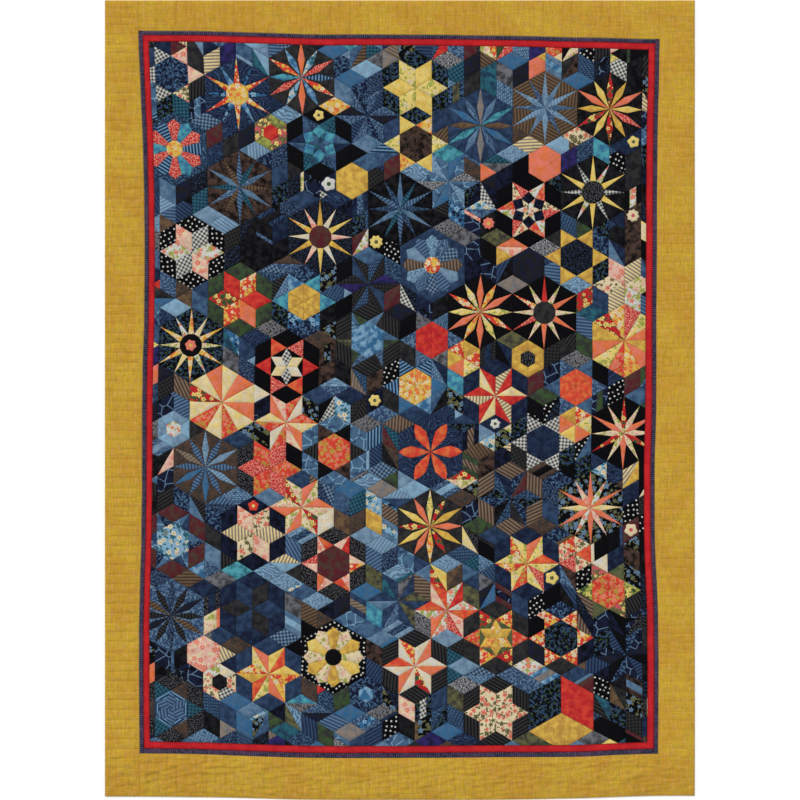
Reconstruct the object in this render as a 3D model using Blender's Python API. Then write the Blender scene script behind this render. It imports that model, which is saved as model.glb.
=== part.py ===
# A pieced and quilted bed quilt lying flat, face up. X runs across it, Y from its foot to its head.
# Every cloth is first laid out on the straight lines it was cut to, and settled() then moves each point
# to where the sewn seams have drifted. The underside is flat at z = 0.

import math
import random
from collections import namedtuple

import bmesh
import bpy
import numpy as np

# Driving sizes, in metres
quilt_width = 1.475
quilt_length = 2.000
seam_gap = 0.0004

# Widths of the cloths that frame the centre, from the outermost inwards
Sides = namedtuple("Sides", "left right foot head")
border_widths = Sides(left=0.0910, right=0.0940, foot=0.1085, head=0.0865)
navy_widths = Sides(left=0.0110, right=0.0105, foot=0.0125, head=0.0105)
red_widths = Sides(left=0.0150, right=0.0170, foot=0.0175, head=0.0165)

# Thickness of the sandwich of top, wadding and back
hem_height = 0.0034
stitch_height = 0.0040
strip_crown = 0.0052
crown_height = 0.0066

# Quilting of the border: lines across it, with a puffed ridge between each two
ridge_pitch = 0.024
ridge_shoulder = 0.30
edge_slope = 0.014

# Length of one straight piece of a narrow strip, short enough to follow the cloth beside it
strip_step = 0.042

# Piecing of the centre: 60-degree diamonds, with rosettes scattered among them
patch_side = 0.0466
patch_seed = 19
large_rosettes = 44
star_rosettes = 20
small_rosettes = 14

# Drift of the seam lines from straight, in metres towards +X or +Y. "along" runs from the foot to the head
# for the left and right lines, and from left to right for the head and foot lines and the lower hem.
Drift = namedtuple("Drift", "along left right head foot hem")
drifts = [
    Drift(along=0 / 6, left=-0.0045, right=0.0030, head=0.0105, foot=0.0080, hem=0.0085),
    Drift(along=1 / 6, left=-0.0055, right=0.0035, head=0.0080, foot=0.0030, hem=0.0060),
    Drift(along=2 / 6, left=0.0010, right=-0.0060, head=0.0010, foot=-0.0035, hem=0.0006),
    Drift(along=3 / 6, left=0.0025, right=-0.0020, head=0.0000, foot=-0.0040, hem=0.0000),
    Drift(along=4 / 6, left=0.0085, right=-0.0010, head=-0.0020, foot=-0.0020, hem=0.0004),
    Drift(along=5 / 6, left=0.0045, right=0.0010, head=-0.0060, foot=-0.0015, hem=0.0040),
    Drift(along=6 / 6, left=-0.0075, right=0.0065, head=-0.0110, foot=0.0070, hem=0.0105),
]

# The straight lines of the layout: the quilt's outer edge, and the outer edges of what it frames
outer = Sides(-quilt_width / 2, quilt_width / 2, -quilt_length / 2, quilt_length / 2)


def inside_of(lines, widths):
    return Sides(lines.left + widths.left, lines.right - widths.right,
                 lines.foot + widths.foot, lines.head - widths.head)


navy = inside_of(outer, border_widths)
red = inside_of(navy, navy_widths)
centre = inside_of(red, red_widths)

# The lattice of the piecing: columns along X, half a patch side apart along Y, from the centre's middle
column_step = patch_side * math.sqrt(3) / 2
row_step = patch_side / 2
middle_x = (centre.left + centre.right) / 2
middle_y = (centre.foot + centre.head) / 2

# A rosette is a star of six diamonds with their sharp corners at its middle point. Cells are counted from
# that point, as (column band, half row), and each pair of cells is one diamond.
star_pairs = [
    ((0, 0), (1, 0)),
    ((0, 1), (0, 2)),
    ((-1, 1), (-1, 2)),
    ((-1, 0), (-2, 0)),
    ((-1, -1), (-1, -2)),
    ((0, -1), (0, -2)),
]
# Six more diamonds fill the notches of the star and make the hexagon of a large rosette.
notch_pairs = [
    ((0, 3), (-1, 3)),
    ((1, 1), (1, 2)),
    ((1, -1), (1, -2)),
    ((0, -3), (-1, -3)),
    ((-2, 1), (-2, 2)),
    ((-2, -1), (-2, -2)),
]
hexagon_cells = [pair[0] for pair in star_pairs]


def drift_at(line, along):
    """The drift of one seam line, on a smooth curve through the table's rows."""
    values = [getattr(row, line) for row in drifts]
    place = min(max(along, 0.0), 1.0) * (len(values) - 1)
    start = min(int(place), len(values) - 2)
    part = place - start
    before = values[max(start - 1, 0)]
    here, there = values[start], values[start + 1]
    after = values[min(start + 2, len(values) - 1)]
    slope_here, slope_there = (there - before) / 2, (after - here) / 2
    cubic = (2 * (here - there) + slope_here + slope_there) * part**3
    square = (3 * (there - here) - 2 * slope_here - slope_there) * part**2
    return cubic + square + slope_here * part + here


def settled(x, y, z):
    """Where a point of the straight layout lies once the seams have drifted."""
    up = (y - navy.foot) / (navy.head - navy.foot)
    across = (x - navy.left) / (navy.right - navy.left)
    columns = [outer.left, navy.left, navy.right, outer.right]
    rows = [outer.foot, navy.foot, navy.head, outer.head]
    sideways = [0.0, drift_at("left", up), drift_at("right", up), 0.0]
    lengthwise = [drift_at("hem", across), drift_at("foot", across), drift_at("head", across), 0.0]
    return x + float(np.interp(x, columns, sideways)), y + float(np.interp(y, rows, lengthwise)), z


def make_material(name, color, roughness):
    material = bpy.data.materials.new(name)
    material.use_nodes = True
    shader = material.node_tree.nodes["Principled BSDF"]
    shader.inputs["Base Color"].default_value = (*color, 1.0)
    shader.inputs["Roughness"].default_value = roughness
    shader.inputs["Metallic"].default_value = 0.0
    return material


def place_cloth(name, solid, material):
    """Puts a finished solid in the scene as the named cloth, parented to the quilt's empty."""
    bmesh.ops.recalc_face_normals(solid, faces=solid.faces[:])
    mesh = bpy.data.meshes.new(name)
    solid.to_mesh(mesh)
    solid.free()
    mesh.materials.append(material)
    cloth = bpy.data.objects.new(name, mesh)
    bpy.context.scene.collection.objects.link(cloth)
    cloth.parent = bpy.data.objects["quilt"]


def across_quilt(axis, along, across, z):
    """A settled point of a cloth that runs along the named axis."""
    x, y = (across, along) if axis == "Y" else (along, across)
    return settled(x, y, z)


def make_border(name, axis, ends, sides, material):
    """A border cloth with quilting lines across it and a flat-topped ridge between each two lines."""
    start, stop = ends
    count = round((stop - start) / ridge_pitch)
    pitch = (stop - start) / count
    seam_side = min(sides, key=abs)
    side_heights = [stitch_height if side == seam_side else hem_height for side in sides]
    slope_foots = (sides[0] + edge_slope, sides[1] - edge_slope)
    solid = bmesh.new()

    def row_of_points(along, places, heights):
        return [
            solid.verts.new(across_quilt(axis, along, across, height))
            for across, height in zip(places, heights)
        ]

    lines = []
    for number in range(count + 1):
        along = start + number * pitch
        edge = row_of_points(along, sides, side_heights)
        stitched = row_of_points(along, slope_foots, [stitch_height] * 2)
        under = row_of_points(along, sides, [0.0] * 2)
        lines.append((edge, stitched, under))

    for number in range(count):
        low_edge, low, low_under = lines[number]
        high_edge, high, high_under = lines[number + 1]
        shoulders = [
            row_of_points(start + (number + share) * pitch, slope_foots, [crown_height] * 2)
            for share in (ridge_shoulder, 1 - ridge_shoulder)
        ]
        for side in (0, 1):
            first, second = shoulders[0][side], shoulders[1][side]
            solid.faces.new((low_edge[side], low[side], first))
            solid.faces.new((low_edge[side], first, second, high_edge[side]))
            solid.faces.new((high_edge[side], second, high[side]))
            solid.faces.new((low_edge[side], high_edge[side], high_under[side], low_under[side]))
        for before, after in ((low, shoulders[0]), shoulders, (shoulders[1], high)):
            solid.faces.new((before[0], before[1], after[1], after[0]))
        solid.faces.new((low_under[0], low_under[1], high_under[1], high_under[0]))

    for edge, stitched, under in (lines[0], lines[-1]):
        solid.faces.new((edge[0], stitched[0], stitched[1], edge[1], under[1], under[0]))
    place_cloth(name, solid, material)


def make_strip(name, axis, ends, sides, material):
    """A narrow strip, a little puffed between its two seams."""
    near, far = sides
    section = [
        (near, 0.0),
        (near, stitch_height),
        ((near + far) / 2, strip_crown),
        (far, stitch_height),
        (far, 0.0),
    ]
    steps = round((ends[1] - ends[0]) / strip_step)
    solid = bmesh.new()
    rings = [
        [solid.verts.new(across_quilt(axis, along, across, z)) for across, z in section]
        for along in np.linspace(*ends, steps + 1)
    ]
    for before, after in zip(rings, rings[1:]):
        for corner in range(len(section)):
            following = (corner + 1) % len(section)
            solid.faces.new((before[corner], before[following], after[following], after[corner]))
    solid.faces.new(rings[0])
    solid.faces.new(rings[-1])
    place_cloth(name, solid, material)


def lattice_point(column, row):
    return middle_x + column * column_step, middle_y + row * row_step


def cell_corners(cell):
    """The lattice points of a triangular cell. It points right where band + row is odd, else left."""
    band, row = cell
    points_right = (band + row) % 2 == 1
    upright, tip = (band, band + 1) if points_right else (band + 1, band)
    return [(upright, row - 1), (upright, row + 1), (tip, row)]


def cell_neighbours(cell):
    band, row = cell
    beside = band - 1 if (band + row) % 2 == 1 else band + 1
    return [(beside, row), (band, row + 1), (band, row - 1)]


def outline_of(cells):
    """The outline of one triangle, diamond or hexagon of cells, in order round its middle."""
    corners = sorted({corner for cell in cells for corner in cell_corners(cell)})
    middle = tuple(sum(corner[axis] for corner in corners) / len(corners) for axis in (0, 1))
    around = lattice_point(*middle)

    def bearing(corner):
        x, y = lattice_point(*corner)
        return math.atan2(y - around[1], x - around[0])

    rim = [corner for corner in corners if corner != middle]
    return [lattice_point(*corner) for corner in sorted(rim, key=bearing)]


def pieced_patches():
    """Groups of cells, one for each patch: scattered rosettes, then diamonds turned whichever way fits."""
    chance = random.Random(patch_seed)
    bands = int((centre.right - middle_x) / column_step) + 1
    rows = int((centre.head - middle_y) / row_step) + 1
    free = {(band, row) for band in range(-bands, bands) for row in range(-rows, rows + 1)}
    patches = []

    def scatter(wanted, shapes):
        points = [
            (column, row)
            for column in range(2 - bands, bands - 1)
            for row in range(4 - rows, rows - 3)
            if (column + row) % 2 == 0
        ]
        chance.shuffle(points)
        placed = 0
        for column, row in points:
            groups = [[(column + band, row + step) for band, step in shape] for shape in shapes]
            cells = {cell for group in groups for cell in group}
            if placed < wanted and cells <= free:
                free.difference_update(cells)
                patches.extend(groups)
                placed += 1

    scatter(large_rosettes, star_pairs + notch_pairs)
    scatter(star_rosettes, star_pairs)
    scatter(small_rosettes, [hexagon_cells])

    while free:
        choices = {cell: [near for near in cell_neighbours(cell) if near in free] for cell in free}
        fewest = min(len(near) for near in choices.values())
        group = [chance.choice(sorted(cell for cell in choices if len(choices[cell]) == fewest))]
        if fewest:
            group.append(chance.choice(choices[group[0]]))
        free.difference_update(group)
        patches.append(group)
    return patches


def cut_to_centre(outline):
    """The part of a convex outline that lies inside the straight edges of the centre."""
    half_gap = seam_gap / 2
    lines = inside_of(centre, Sides(half_gap, half_gap, half_gap, half_gap))
    limits = [(0, lines.left, 1), (0, lines.right, -1), (1, lines.foot, 1), (1, lines.head, -1)]
    for axis, limit, inward in limits:
        kept = []
        for here, there in zip(outline, outline[1:] + outline[:1]):
            depth_here = (here[axis] - limit) * inward
            depth_there = (there[axis] - limit) * inward
            if depth_here >= 0:
                kept.append(here)
            if depth_here * depth_there < 0:
                share = depth_here / (depth_here - depth_there)
                crossing = [a + (b - a) * share for a, b in zip(here, there)]
                crossing[axis] = limit
                kept.append(tuple(crossing))
        outline = kept
    return outline


def make_centre(name, material):
    """The patchwork centre: each patch puffs up to a crown between the seams that hold it down."""
    solid = bmesh.new()
    for cells in pieced_patches():
        outline = cut_to_centre(outline_of(cells))
        if len(outline) >= 3:
            solid.faces.new([solid.verts.new(settled(x, y, stitch_height)) for x, y in outline])
    bmesh.ops.remove_doubles(solid, verts=solid.verts[:], dist=seam_gap / 10)

    whole_diamond = column_step * patch_side
    fullness = [(face, min(1.0, math.sqrt(face.calc_area() / whole_diamond))) for face in solid.faces]
    for face, share in fullness:
        crown = bmesh.ops.poke(solid, faces=[face])["verts"][0]
        crown.co.z = stitch_height + (crown_height - stitch_height) * share

    rim = [edge for edge in solid.edges if edge.is_boundary]
    wall = bmesh.ops.extrude_edge_only(solid, edges=rim)["geom"]
    for corner in wall:
        if isinstance(corner, bmesh.types.BMVert):
            corner.co.z = 0.0
    under_edges = [edge for edge in solid.edges if edge.is_boundary]
    under = bmesh.ops.contextual_create(solid, geom=under_edges)["faces"]
    bmesh.ops.poke(solid, faces=under)
    place_cloth(name, solid, material)


def make_frame(name, make_piece, outside, inside, outer_gap, material):
    """Four cloths between two sets of lines. The side ones run full length, the others lie between them."""
    half_gap = seam_gap / 2
    length = (outside.foot + outer_gap, outside.head - outer_gap)
    width = (inside.left + half_gap, inside.right - half_gap)
    left_sides = (outside.left + outer_gap, inside.left - half_gap)
    right_sides = (inside.right + half_gap, outside.right - outer_gap)
    foot_sides = (outside.foot + outer_gap, inside.foot - half_gap)
    head_sides = (inside.head + half_gap, outside.head - outer_gap)
    make_piece(f"{name}_left", "Y", length, left_sides, material)
    make_piece(f"{name}_right", "Y", length, right_sides, material)
    make_piece(f"{name}_bottom", "X", width, foot_sides, material)
    make_piece(f"{name}_top", "X", width, head_sides, material)


def build_quilt():
    for item in list(bpy.data.objects):
        bpy.data.objects.remove(item)
    bpy.context.scene.collection.objects.link(bpy.data.objects.new("quilt", None))

    patchwork = make_material("patchwork_cottons", (0.050, 0.070, 0.110), 0.85)
    red_cotton = make_material("red_cotton", (0.40, 0.022, 0.026), 0.9)
    navy_cotton = make_material("navy_ticked_cotton", (0.032, 0.030, 0.080), 0.9)
    mustard_cotton = make_material("mustard_cotton", (0.50, 0.31, 0.045), 0.9)

    make_centre("patchwork_centre", patchwork)
    make_frame("red_strip", make_strip, red, centre, seam_gap / 2, red_cotton)
    make_frame("navy_strip", make_strip, navy, red, seam_gap / 2, navy_cotton)
    make_frame("border", make_border, outer, navy, 0.0, mustard_cotton)


build_quilt()
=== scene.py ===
import math
import random
from collections import namedtuple

import bpy
import numpy as np
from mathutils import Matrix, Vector, noise
from mathutils.bvhtree import BVHTree


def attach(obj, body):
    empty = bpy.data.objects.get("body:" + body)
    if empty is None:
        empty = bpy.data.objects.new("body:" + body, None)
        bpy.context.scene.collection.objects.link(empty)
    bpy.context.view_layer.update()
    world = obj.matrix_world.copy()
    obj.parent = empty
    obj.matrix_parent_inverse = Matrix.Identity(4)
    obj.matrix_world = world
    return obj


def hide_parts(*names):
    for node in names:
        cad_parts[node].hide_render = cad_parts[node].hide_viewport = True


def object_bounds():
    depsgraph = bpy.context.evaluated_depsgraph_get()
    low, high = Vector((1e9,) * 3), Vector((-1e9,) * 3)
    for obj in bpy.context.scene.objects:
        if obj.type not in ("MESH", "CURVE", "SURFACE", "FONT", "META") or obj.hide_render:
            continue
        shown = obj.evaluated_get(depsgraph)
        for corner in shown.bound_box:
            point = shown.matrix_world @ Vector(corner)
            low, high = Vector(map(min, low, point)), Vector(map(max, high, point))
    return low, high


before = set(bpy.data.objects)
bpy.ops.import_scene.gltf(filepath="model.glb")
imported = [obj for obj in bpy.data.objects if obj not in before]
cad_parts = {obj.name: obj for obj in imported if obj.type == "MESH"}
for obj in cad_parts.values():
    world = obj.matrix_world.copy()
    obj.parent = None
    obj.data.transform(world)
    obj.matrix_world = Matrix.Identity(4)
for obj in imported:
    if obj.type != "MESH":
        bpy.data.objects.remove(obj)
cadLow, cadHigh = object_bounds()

scene = bpy.context.scene

# Camera, straight above the quilt's face, with its head at the top of the picture
cameraPlace = {
    "height": 6.0,               # metres above the floor
    "frameWidth": 2.0,           # metres of the quilt's face that the picture is wide
    "lookAt": (0.0006, 0.0),
    "sensor": 36.0,              # millimetres
    "farthest": 50.0,            # metres
}


def placeCamera(place):
    camera = bpy.data.objects.new("photoCamera", bpy.data.cameras.new("photoCamera"))
    camera.data.sensor_width = place["sensor"]
    toFace = place["height"] - cadHigh.z
    camera.data.lens = place["sensor"] * toFace / place["frameWidth"]
    camera.data.clip_end = place["farthest"]
    camera.location = (*place["lookAt"], place["height"])
    scene.collection.objects.link(camera)
    scene.camera = camera


placeCamera(cameraPlace)
print("camera placed")

# Room: a pale floor, an even pale sky and a soft lamp beyond the quilt's head
studio = {
    "floorColor": (0.97, 0.97, 0.97),
    "floorSize": 40.0,
    "floorHeight": -0.0006,
    "floorRoughness": 0.9,
    "skyColor": (1.0, 1.0, 1.0),
    "skyStrength": 0.66,
    "lampFrom": (-0.70, 1.10, 1.25),      # the lamp shines from here towards the quilt's middle
    "lampDistance": 3.0,
    "lampStrength": 1.8,
    "lampSoftness": 9.0,                  # degrees
    "lampColor": (1.0, 0.99, 0.975),
}


def buildStudio():
    half = studio["floorSize"] / 2
    corners = [(-half, -half), (half, -half), (half, half), (-half, half)]
    mesh = bpy.data.meshes.new("paleFloor")
    mesh.from_pydata([(x, y, studio["floorHeight"]) for x, y in corners], [], [(0, 1, 2, 3)])
    floor = bpy.data.objects.new("paleFloor", mesh)
    scene.collection.objects.link(floor)
    paint = bpy.data.materials.new("paleFloor")
    paint.use_nodes = True
    shader = paint.node_tree.nodes["Principled BSDF"]
    shader.inputs["Base Color"].default_value = (*studio["floorColor"], 1)
    shader.inputs["Roughness"].default_value = studio["floorRoughness"]
    mesh.materials.append(paint)

    sky = bpy.data.worlds.new("paleSky")
    sky.use_nodes = True
    background = sky.node_tree.nodes["Background"]
    background.inputs["Color"].default_value = (*studio["skyColor"], 1)
    background.inputs["Strength"].default_value = studio["skyStrength"]
    scene.world = sky
    scene.view_settings.view_transform = "Standard"

    lamp = bpy.data.lights.new("softLamp", "SUN")
    lamp.energy = studio["lampStrength"]
    lamp.angle = math.radians(studio["lampSoftness"])
    lamp.color = studio["lampColor"]
    holder = bpy.data.objects.new("softLamp", lamp)
    holder.location = studio["lampDistance"] * Vector(studio["lampFrom"])
    holder.rotation_euler = (-Vector(studio["lampFrom"])).to_track_quat("-Z", "Y").to_euler()
    scene.collection.objects.link(holder)


buildStudio()
print("studio built")

# Layout of the quilt, in metres, the same as its solids have
Sides = namedtuple("Sides", "left right foot head")
quilt = {
    "width": 1.475,
    "length": 2.000,
    "borderWidths": Sides(left=0.0910, right=0.0940, foot=0.1085, head=0.0865),
    "navyWidths": Sides(left=0.0110, right=0.0105, foot=0.0125, head=0.0105),
    "redWidths": Sides(left=0.0150, right=0.0170, foot=0.0175, head=0.0165),
    "seamGap": 0.00002,
    "stitchHeight": 0.0040,
    "crownHeight": 0.0066,
}
halfSeam = quilt["seamGap"] / 2

# How far the sewn seams and the lower hem have drifted from straight, from foot to head or from left to right
drifts = {
    "left": (-0.0045, -0.0055, 0.0010, 0.0025, 0.0085, 0.0045, -0.0075),
    "right": (0.0030, 0.0035, -0.0060, -0.0020, -0.0010, 0.0010, 0.0065),
    "head": (0.0105, 0.0080, 0.0010, 0.0000, -0.0020, -0.0060, -0.0110),
    "foot": (0.0080, 0.0030, -0.0035, -0.0040, -0.0020, -0.0015, 0.0070),
    "hem": (0.0085, 0.0060, 0.0006, 0.0000, 0.0004, 0.0040, 0.0105),
}

# Small unevenness of hand sewing
unevenness = {
    "sideways": 0.0011,      # metres
    "sidewaysPitch": 0.11,
    "hemFade": 0.05,         # it grows from nothing at the hem over this much
    "lift": 0.0006,
    "liftPitch": 0.16,
    "liftedAbove": 0.002,    # the underside stays flat
    "seeds": (3.1, 7.7, 5.3),
}

outer = Sides(-quilt["width"] / 2, quilt["width"] / 2, -quilt["length"] / 2, quilt["length"] / 2)


def insideOf(lines, widths):
    return Sides(lines.left + widths.left, lines.right - widths.right,
                 lines.foot + widths.foot, lines.head - widths.head)


navy = insideOf(outer, quilt["borderWidths"])
red = insideOf(navy, quilt["navyWidths"])
centre = insideOf(red, quilt["redWidths"])


def driftAt(line, along):
    values = np.array(drifts[line])
    place = np.clip(along, 0, 1) * (len(values) - 1)
    start = np.minimum(place.astype(int), len(values) - 2)
    part = place - start
    before = values[np.maximum(start - 1, 0)]
    here, there = values[start], values[start + 1]
    after = values[np.minimum(start + 2, len(values) - 1)]
    slopeHere, slopeThere = (there - before) / 2, (after - here) / 2
    cubic = (2 * (here - there) + slopeHere + slopeThere) * part**3
    square = (3 * (there - here) - 2 * slopeHere - slopeThere) * part**2
    return cubic + square + slopeHere * part + here


def rippled(x, y, pitch, seed):
    # A smooth random value for each point, with hills about one pitch apart
    x, y = np.broadcast_arrays(x, y)
    values = [noise.noise(Vector((a / pitch, b / pitch, seed))) for a, b in zip(x.ravel(), y.ravel())]
    return np.array(values).reshape(x.shape)


# Moves points of the straight layout to where they lie in the sewn quilt
def settled(points):
    x, y, z = np.array(points, float).T
    up = (y - navy.foot) / (navy.head - navy.foot)
    across = (x - navy.left) / (navy.right - navy.left)
    columns = [outer.left, navy.left, navy.right, outer.right]
    rows = [outer.foot, navy.foot, navy.head, outer.head]
    sideways = np.interp(x, columns, [0, 1, 0, 0]) * driftAt("left", up)
    sideways += np.interp(x, columns, [0, 0, 1, 0]) * driftAt("right", up)
    lengthwise = np.interp(y, rows, [1, 0, 0, 0]) * driftAt("hem", across)
    lengthwise += np.interp(y, rows, [0, 1, 0, 0]) * driftAt("foot", across)
    lengthwise += np.interp(y, rows, [0, 0, 1, 0]) * driftAt("head", across)
    edge = np.minimum.reduce([x - outer.left, outer.right - x, y - outer.foot, outer.head - y])
    drawn = unevenness["sideways"] * np.clip(edge / unevenness["hemFade"], 0, 1)
    seedX, seedY, seedZ = unevenness["seeds"]
    sideways += drawn * rippled(x, y, unevenness["sidewaysPitch"], seedX)
    lengthwise += drawn * rippled(x, y, unevenness["sidewaysPitch"], seedY)
    lift = unevenness["lift"] * rippled(x, y, unevenness["liftPitch"], seedZ)
    return np.stack([x + sideways, y + lengthwise, z + lift * (z > unevenness["liftedAbove"])], axis=1)


# Piecing of the centre: a lattice of triangles, whose columns stand along X
piecing = {
    "side": 0.0466,
    "seed": 19,
    "largeRosettes": 44,
    "starRosettes": 20,
    "smallRosettes": 14,
}
side = piecing["side"]
columnStep = side * math.sqrt(3) / 2
rowStep = side / 2
middle = ((centre.left + centre.right) / 2, (centre.foot + centre.head) / 2)

# The diamonds of a rosette, as pairs of cells counted from its middle point
starPairs = [
    ((0, 0), (1, 0)),
    ((0, 1), (0, 2)),
    ((-1, 1), (-1, 2)),
    ((-1, 0), (-2, 0)),
    ((-1, -1), (-1, -2)),
    ((0, -1), (0, -2)),
]
notchPairs = [
    ((0, 3), (-1, 3)),
    ((1, 1), (1, 2)),
    ((1, -1), (1, -2)),
    ((0, -3), (-1, -3)),
    ((-2, 1), (-2, 2)),
    ((-2, -1), (-2, -2)),
]
hexagonCells = [pair[0] for pair in starPairs]

Rosette = namedtuple("Rosette", "kind middle")
Patch = namedtuple("Patch", "cells")


def latticePoint(column, row):
    return middle[0] + column * columnStep, middle[1] + row * rowStep


def cellCorners(cell):
    band, row = cell
    pointsRight = (band + row) % 2 == 1
    upright, point = (band, band + 1) if pointsRight else (band + 1, band)
    return [(upright, row - 1), (upright, row + 1), (point, row)]


def cellNeighbours(cell):
    band, row = cell
    beside = band - 1 if (band + row) % 2 == 1 else band + 1
    return [(beside, row), (band, row + 1), (band, row - 1)]


def layOutPiecing():
    chance = random.Random(piecing["seed"])
    bands = int((centre.right - middle[0]) / columnStep) + 1
    rows = int((centre.head - middle[1]) / rowStep) + 1
    free = {(band, row) for band in range(-bands, bands) for row in range(-rows, rows + 1)}
    rosettes, patches = [], []

    def scatter(kind, wanted, shapes):
        # A rosette's middle stays far enough from the edges for the whole rosette to lie inside
        points = [
            (column, row)
            for column in range(2 - bands, bands - 1)
            for row in range(4 - rows, rows - 3)
            if (column + row) % 2 == 0
        ]
        chance.shuffle(points)
        placed = 0
        for column, row in points:
            groups = [[(column + band, row + step) for band, step in shape] for shape in shapes]
            cells = {cell for group in groups for cell in group}
            if placed < wanted and cells <= free:
                free.difference_update(cells)
                rosettes.append(Rosette(kind, latticePoint(column, row)))
                placed += 1

    scatter("large", piecing["largeRosettes"], starPairs + notchPairs)
    scatter("star", piecing["starRosettes"], starPairs)
    scatter("small", piecing["smallRosettes"], [hexagonCells])

    while free:
        choices = {cell: [near for near in cellNeighbours(cell) if near in free] for cell in free}
        fewest = min(len(near) for near in choices.values())
        group = [chance.choice(sorted(cell for cell in choices if len(choices[cell]) == fewest))]
        if fewest:
            group.append(chance.choice(choices[group[0]]))
        free.difference_update(group)
        patches.append(Patch(group))
    return rosettes, patches


# Designs of the rosettes. Each row is a piece, with its corners as (distance in patch sides, degrees) from
# the middle point. The row is repeated round the middle as often as "repeat" says.
Piece = namedtuple("Piece", "role repeat corners")
tip = (3**0.5, 0)
nextTip = (3**0.5, 60)
corner = (2, 30)
lastCorner = (2, -30)
inner = (1, 30)
lastInner = (1, -30)
hub = (0, 0)


def ringOf(distance, first, step):
    return [(distance, turn) for turn in range(first, first + 360, step)]


hexagon = Piece("eye", 1, ringOf(1, 30, 60))
notch = Piece("ground", 6, [inner, tip, corner, nextTip])
rays = [Piece("ground", 6, [(0.62, 15), tip, corner]), Piece("ground", 6, [(0.62, 45), corner, nextTip])]

largeDesigns = {
    "splitStar": [
        Piece("pointOne", 6, [hub, lastInner, tip]),
        Piece("pointTwo", 6, [hub, tip, inner]),
        notch,
    ],
    "scrapStar": [
        Piece("pointOne", 6, [hub, lastInner, tip, inner]),
        notch,
    ],
    "hexagram": [
        hexagon,
        Piece("pointOne", 6, [lastInner, tip, inner]),
        notch,
    ],
    "compass": [
        Piece("pointOne", 6, [hub, (0.62, -15), tip, (0.62, 15)]),
        Piece("pointTwo", 6, [hub, (0.62, 15), corner, (0.62, 45)]),
        *rays,
    ],
    "sunburst": [
        Piece("eye", 1, ringOf(0.62, 15, 30)),
        Piece("pointOne", 6, [(0.62, -15), tip, (0.62, 15)]),
        Piece("pointTwo", 6, [(0.62, 15), corner, (0.62, 45)]),
        *rays,
    ],
    "kaleidoscope": [
        Piece("pointOne", 6, [hub, tip, corner]),
        Piece("pointTwo", 6, [hub, corner, nextTip]),
    ],
    "nested": [
        Piece("eye", 1, ringOf(0.72, 30, 60)),
        Piece("pointOne", 6, [(0.72, -30), (1.34, -30), (1.34, 30), (0.72, 30)]),
        Piece("ground", 6, [(1.34, -30), lastCorner, tip, corner, (1.34, 30)]),
    ],
    "starInStar": [
        Piece("pointTwo", 6, [hub, (0.577, 0), inner, (0.577, 60)]),
        Piece("eye", 6, [(0.577, 0), lastInner, inner]),
        Piece("pointOne", 6, [lastInner, tip, inner]),
        notch,
    ],
    "petals": [
        Piece("pointOne", 6, [hub, (0.62, -20), (1.12, -17), (1.5, -7), tip, (1.5, 7), (1.12, 17),
                              (0.62, 20)]),
        Piece("ground", 6, [hub, (0.62, 20), (1.12, 17), (1.5, 7), tip, corner]),
        Piece("ground", 6, [hub, corner, nextTip, (1.5, 53), (1.12, 43), (0.62, 40)]),
    ],
    "splitHexagram": [
        hexagon,
        Piece("pointOne", 6, [lastInner, tip, (0.866, 0)]),
        Piece("pointTwo", 6, [(0.866, 0), tip, inner]),
        notch,
    ],
    "dresden": [
        Piece("eye", 1, ringOf(0.45, 15, 30)),
        Piece("pointOne", 6, [(0.45, -15), (1.38, -15), (1.62, 0), (1.38, 15), (0.45, 15)]),
        Piece("pointTwo", 6, [(0.45, 15), (1.38, 15), (1.62, 30), (1.38, 45), (0.45, 45)]),
        Piece("ground", 6, [(1.62, 0), (1.38, 15), (1.62, 30), corner, tip]),
        Piece("ground", 6, [(1.62, 0), tip, lastCorner, (1.62, -30), (1.38, -15)]),
    ],
    "twelvePetals": [
        Piece("pointOne", 6, [hub, (1.0, -11), tip, (1.0, 11)]),
        Piece("pointTwo", 6, [hub, (1.0, 19), corner, (1.0, 41)]),
        Piece("ground", 6, [hub, (1.0, 11), tip, corner, (1.0, 19)]),
        Piece("ground", 6, [hub, (1.0, 41), corner, nextTip, (1.0, 49)]),
    ],
    "doubleStar": [
        Piece("pointTwo", 6, [hub, (0.30, -30), (0.72, 0), (0.30, 30)]),
        Piece("eye", 6, [(0.72, 0), (0.30, 30), (0.72, 60), inner]),
        Piece("pointOne", 6, [lastInner, tip, (0.72, 0)]),
        Piece("pointTwo", 6, [(0.72, 0), tip, inner]),
        notch,
    ],
    "blocks": [
        Piece("pointOne", 1, [hub, (2, 30), (2, 90), (2, 150)]),
        Piece("pointTwo", 1, [hub, (2, 150), (2, 210), (2, 270)]),
        Piece("ground", 1, [hub, (2, 270), (2, 330), (2, 30)]),
    ],
}
starDesigns = {
    "splitStar": largeDesigns["splitStar"][:2],
    "scrapStar": largeDesigns["scrapStar"][:1],
    "bandedStar": [
        Piece("eye", 6, [hub, lastInner, inner]),
        Piece("pointOne", 6, [lastInner, tip, inner]),
    ],
}
smallDesigns = {
    "whole": [hexagon],
    "sliced": [
        Piece("pointOne", 3, [hub, lastInner, inner]),
        Piece("pointTwo", 3, [hub, inner, (1, 90)]),
    ],
    "posy": [
        Piece("eye", 1, ringOf(0.45, 30, 60)),
        Piece("pointOne", 6, [(0.45, -30), lastInner, inner, (0.45, 30)]),
    ],
}
designsOf = {"large": largeDesigns, "star": starDesigns, "small": smallDesigns}

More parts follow.
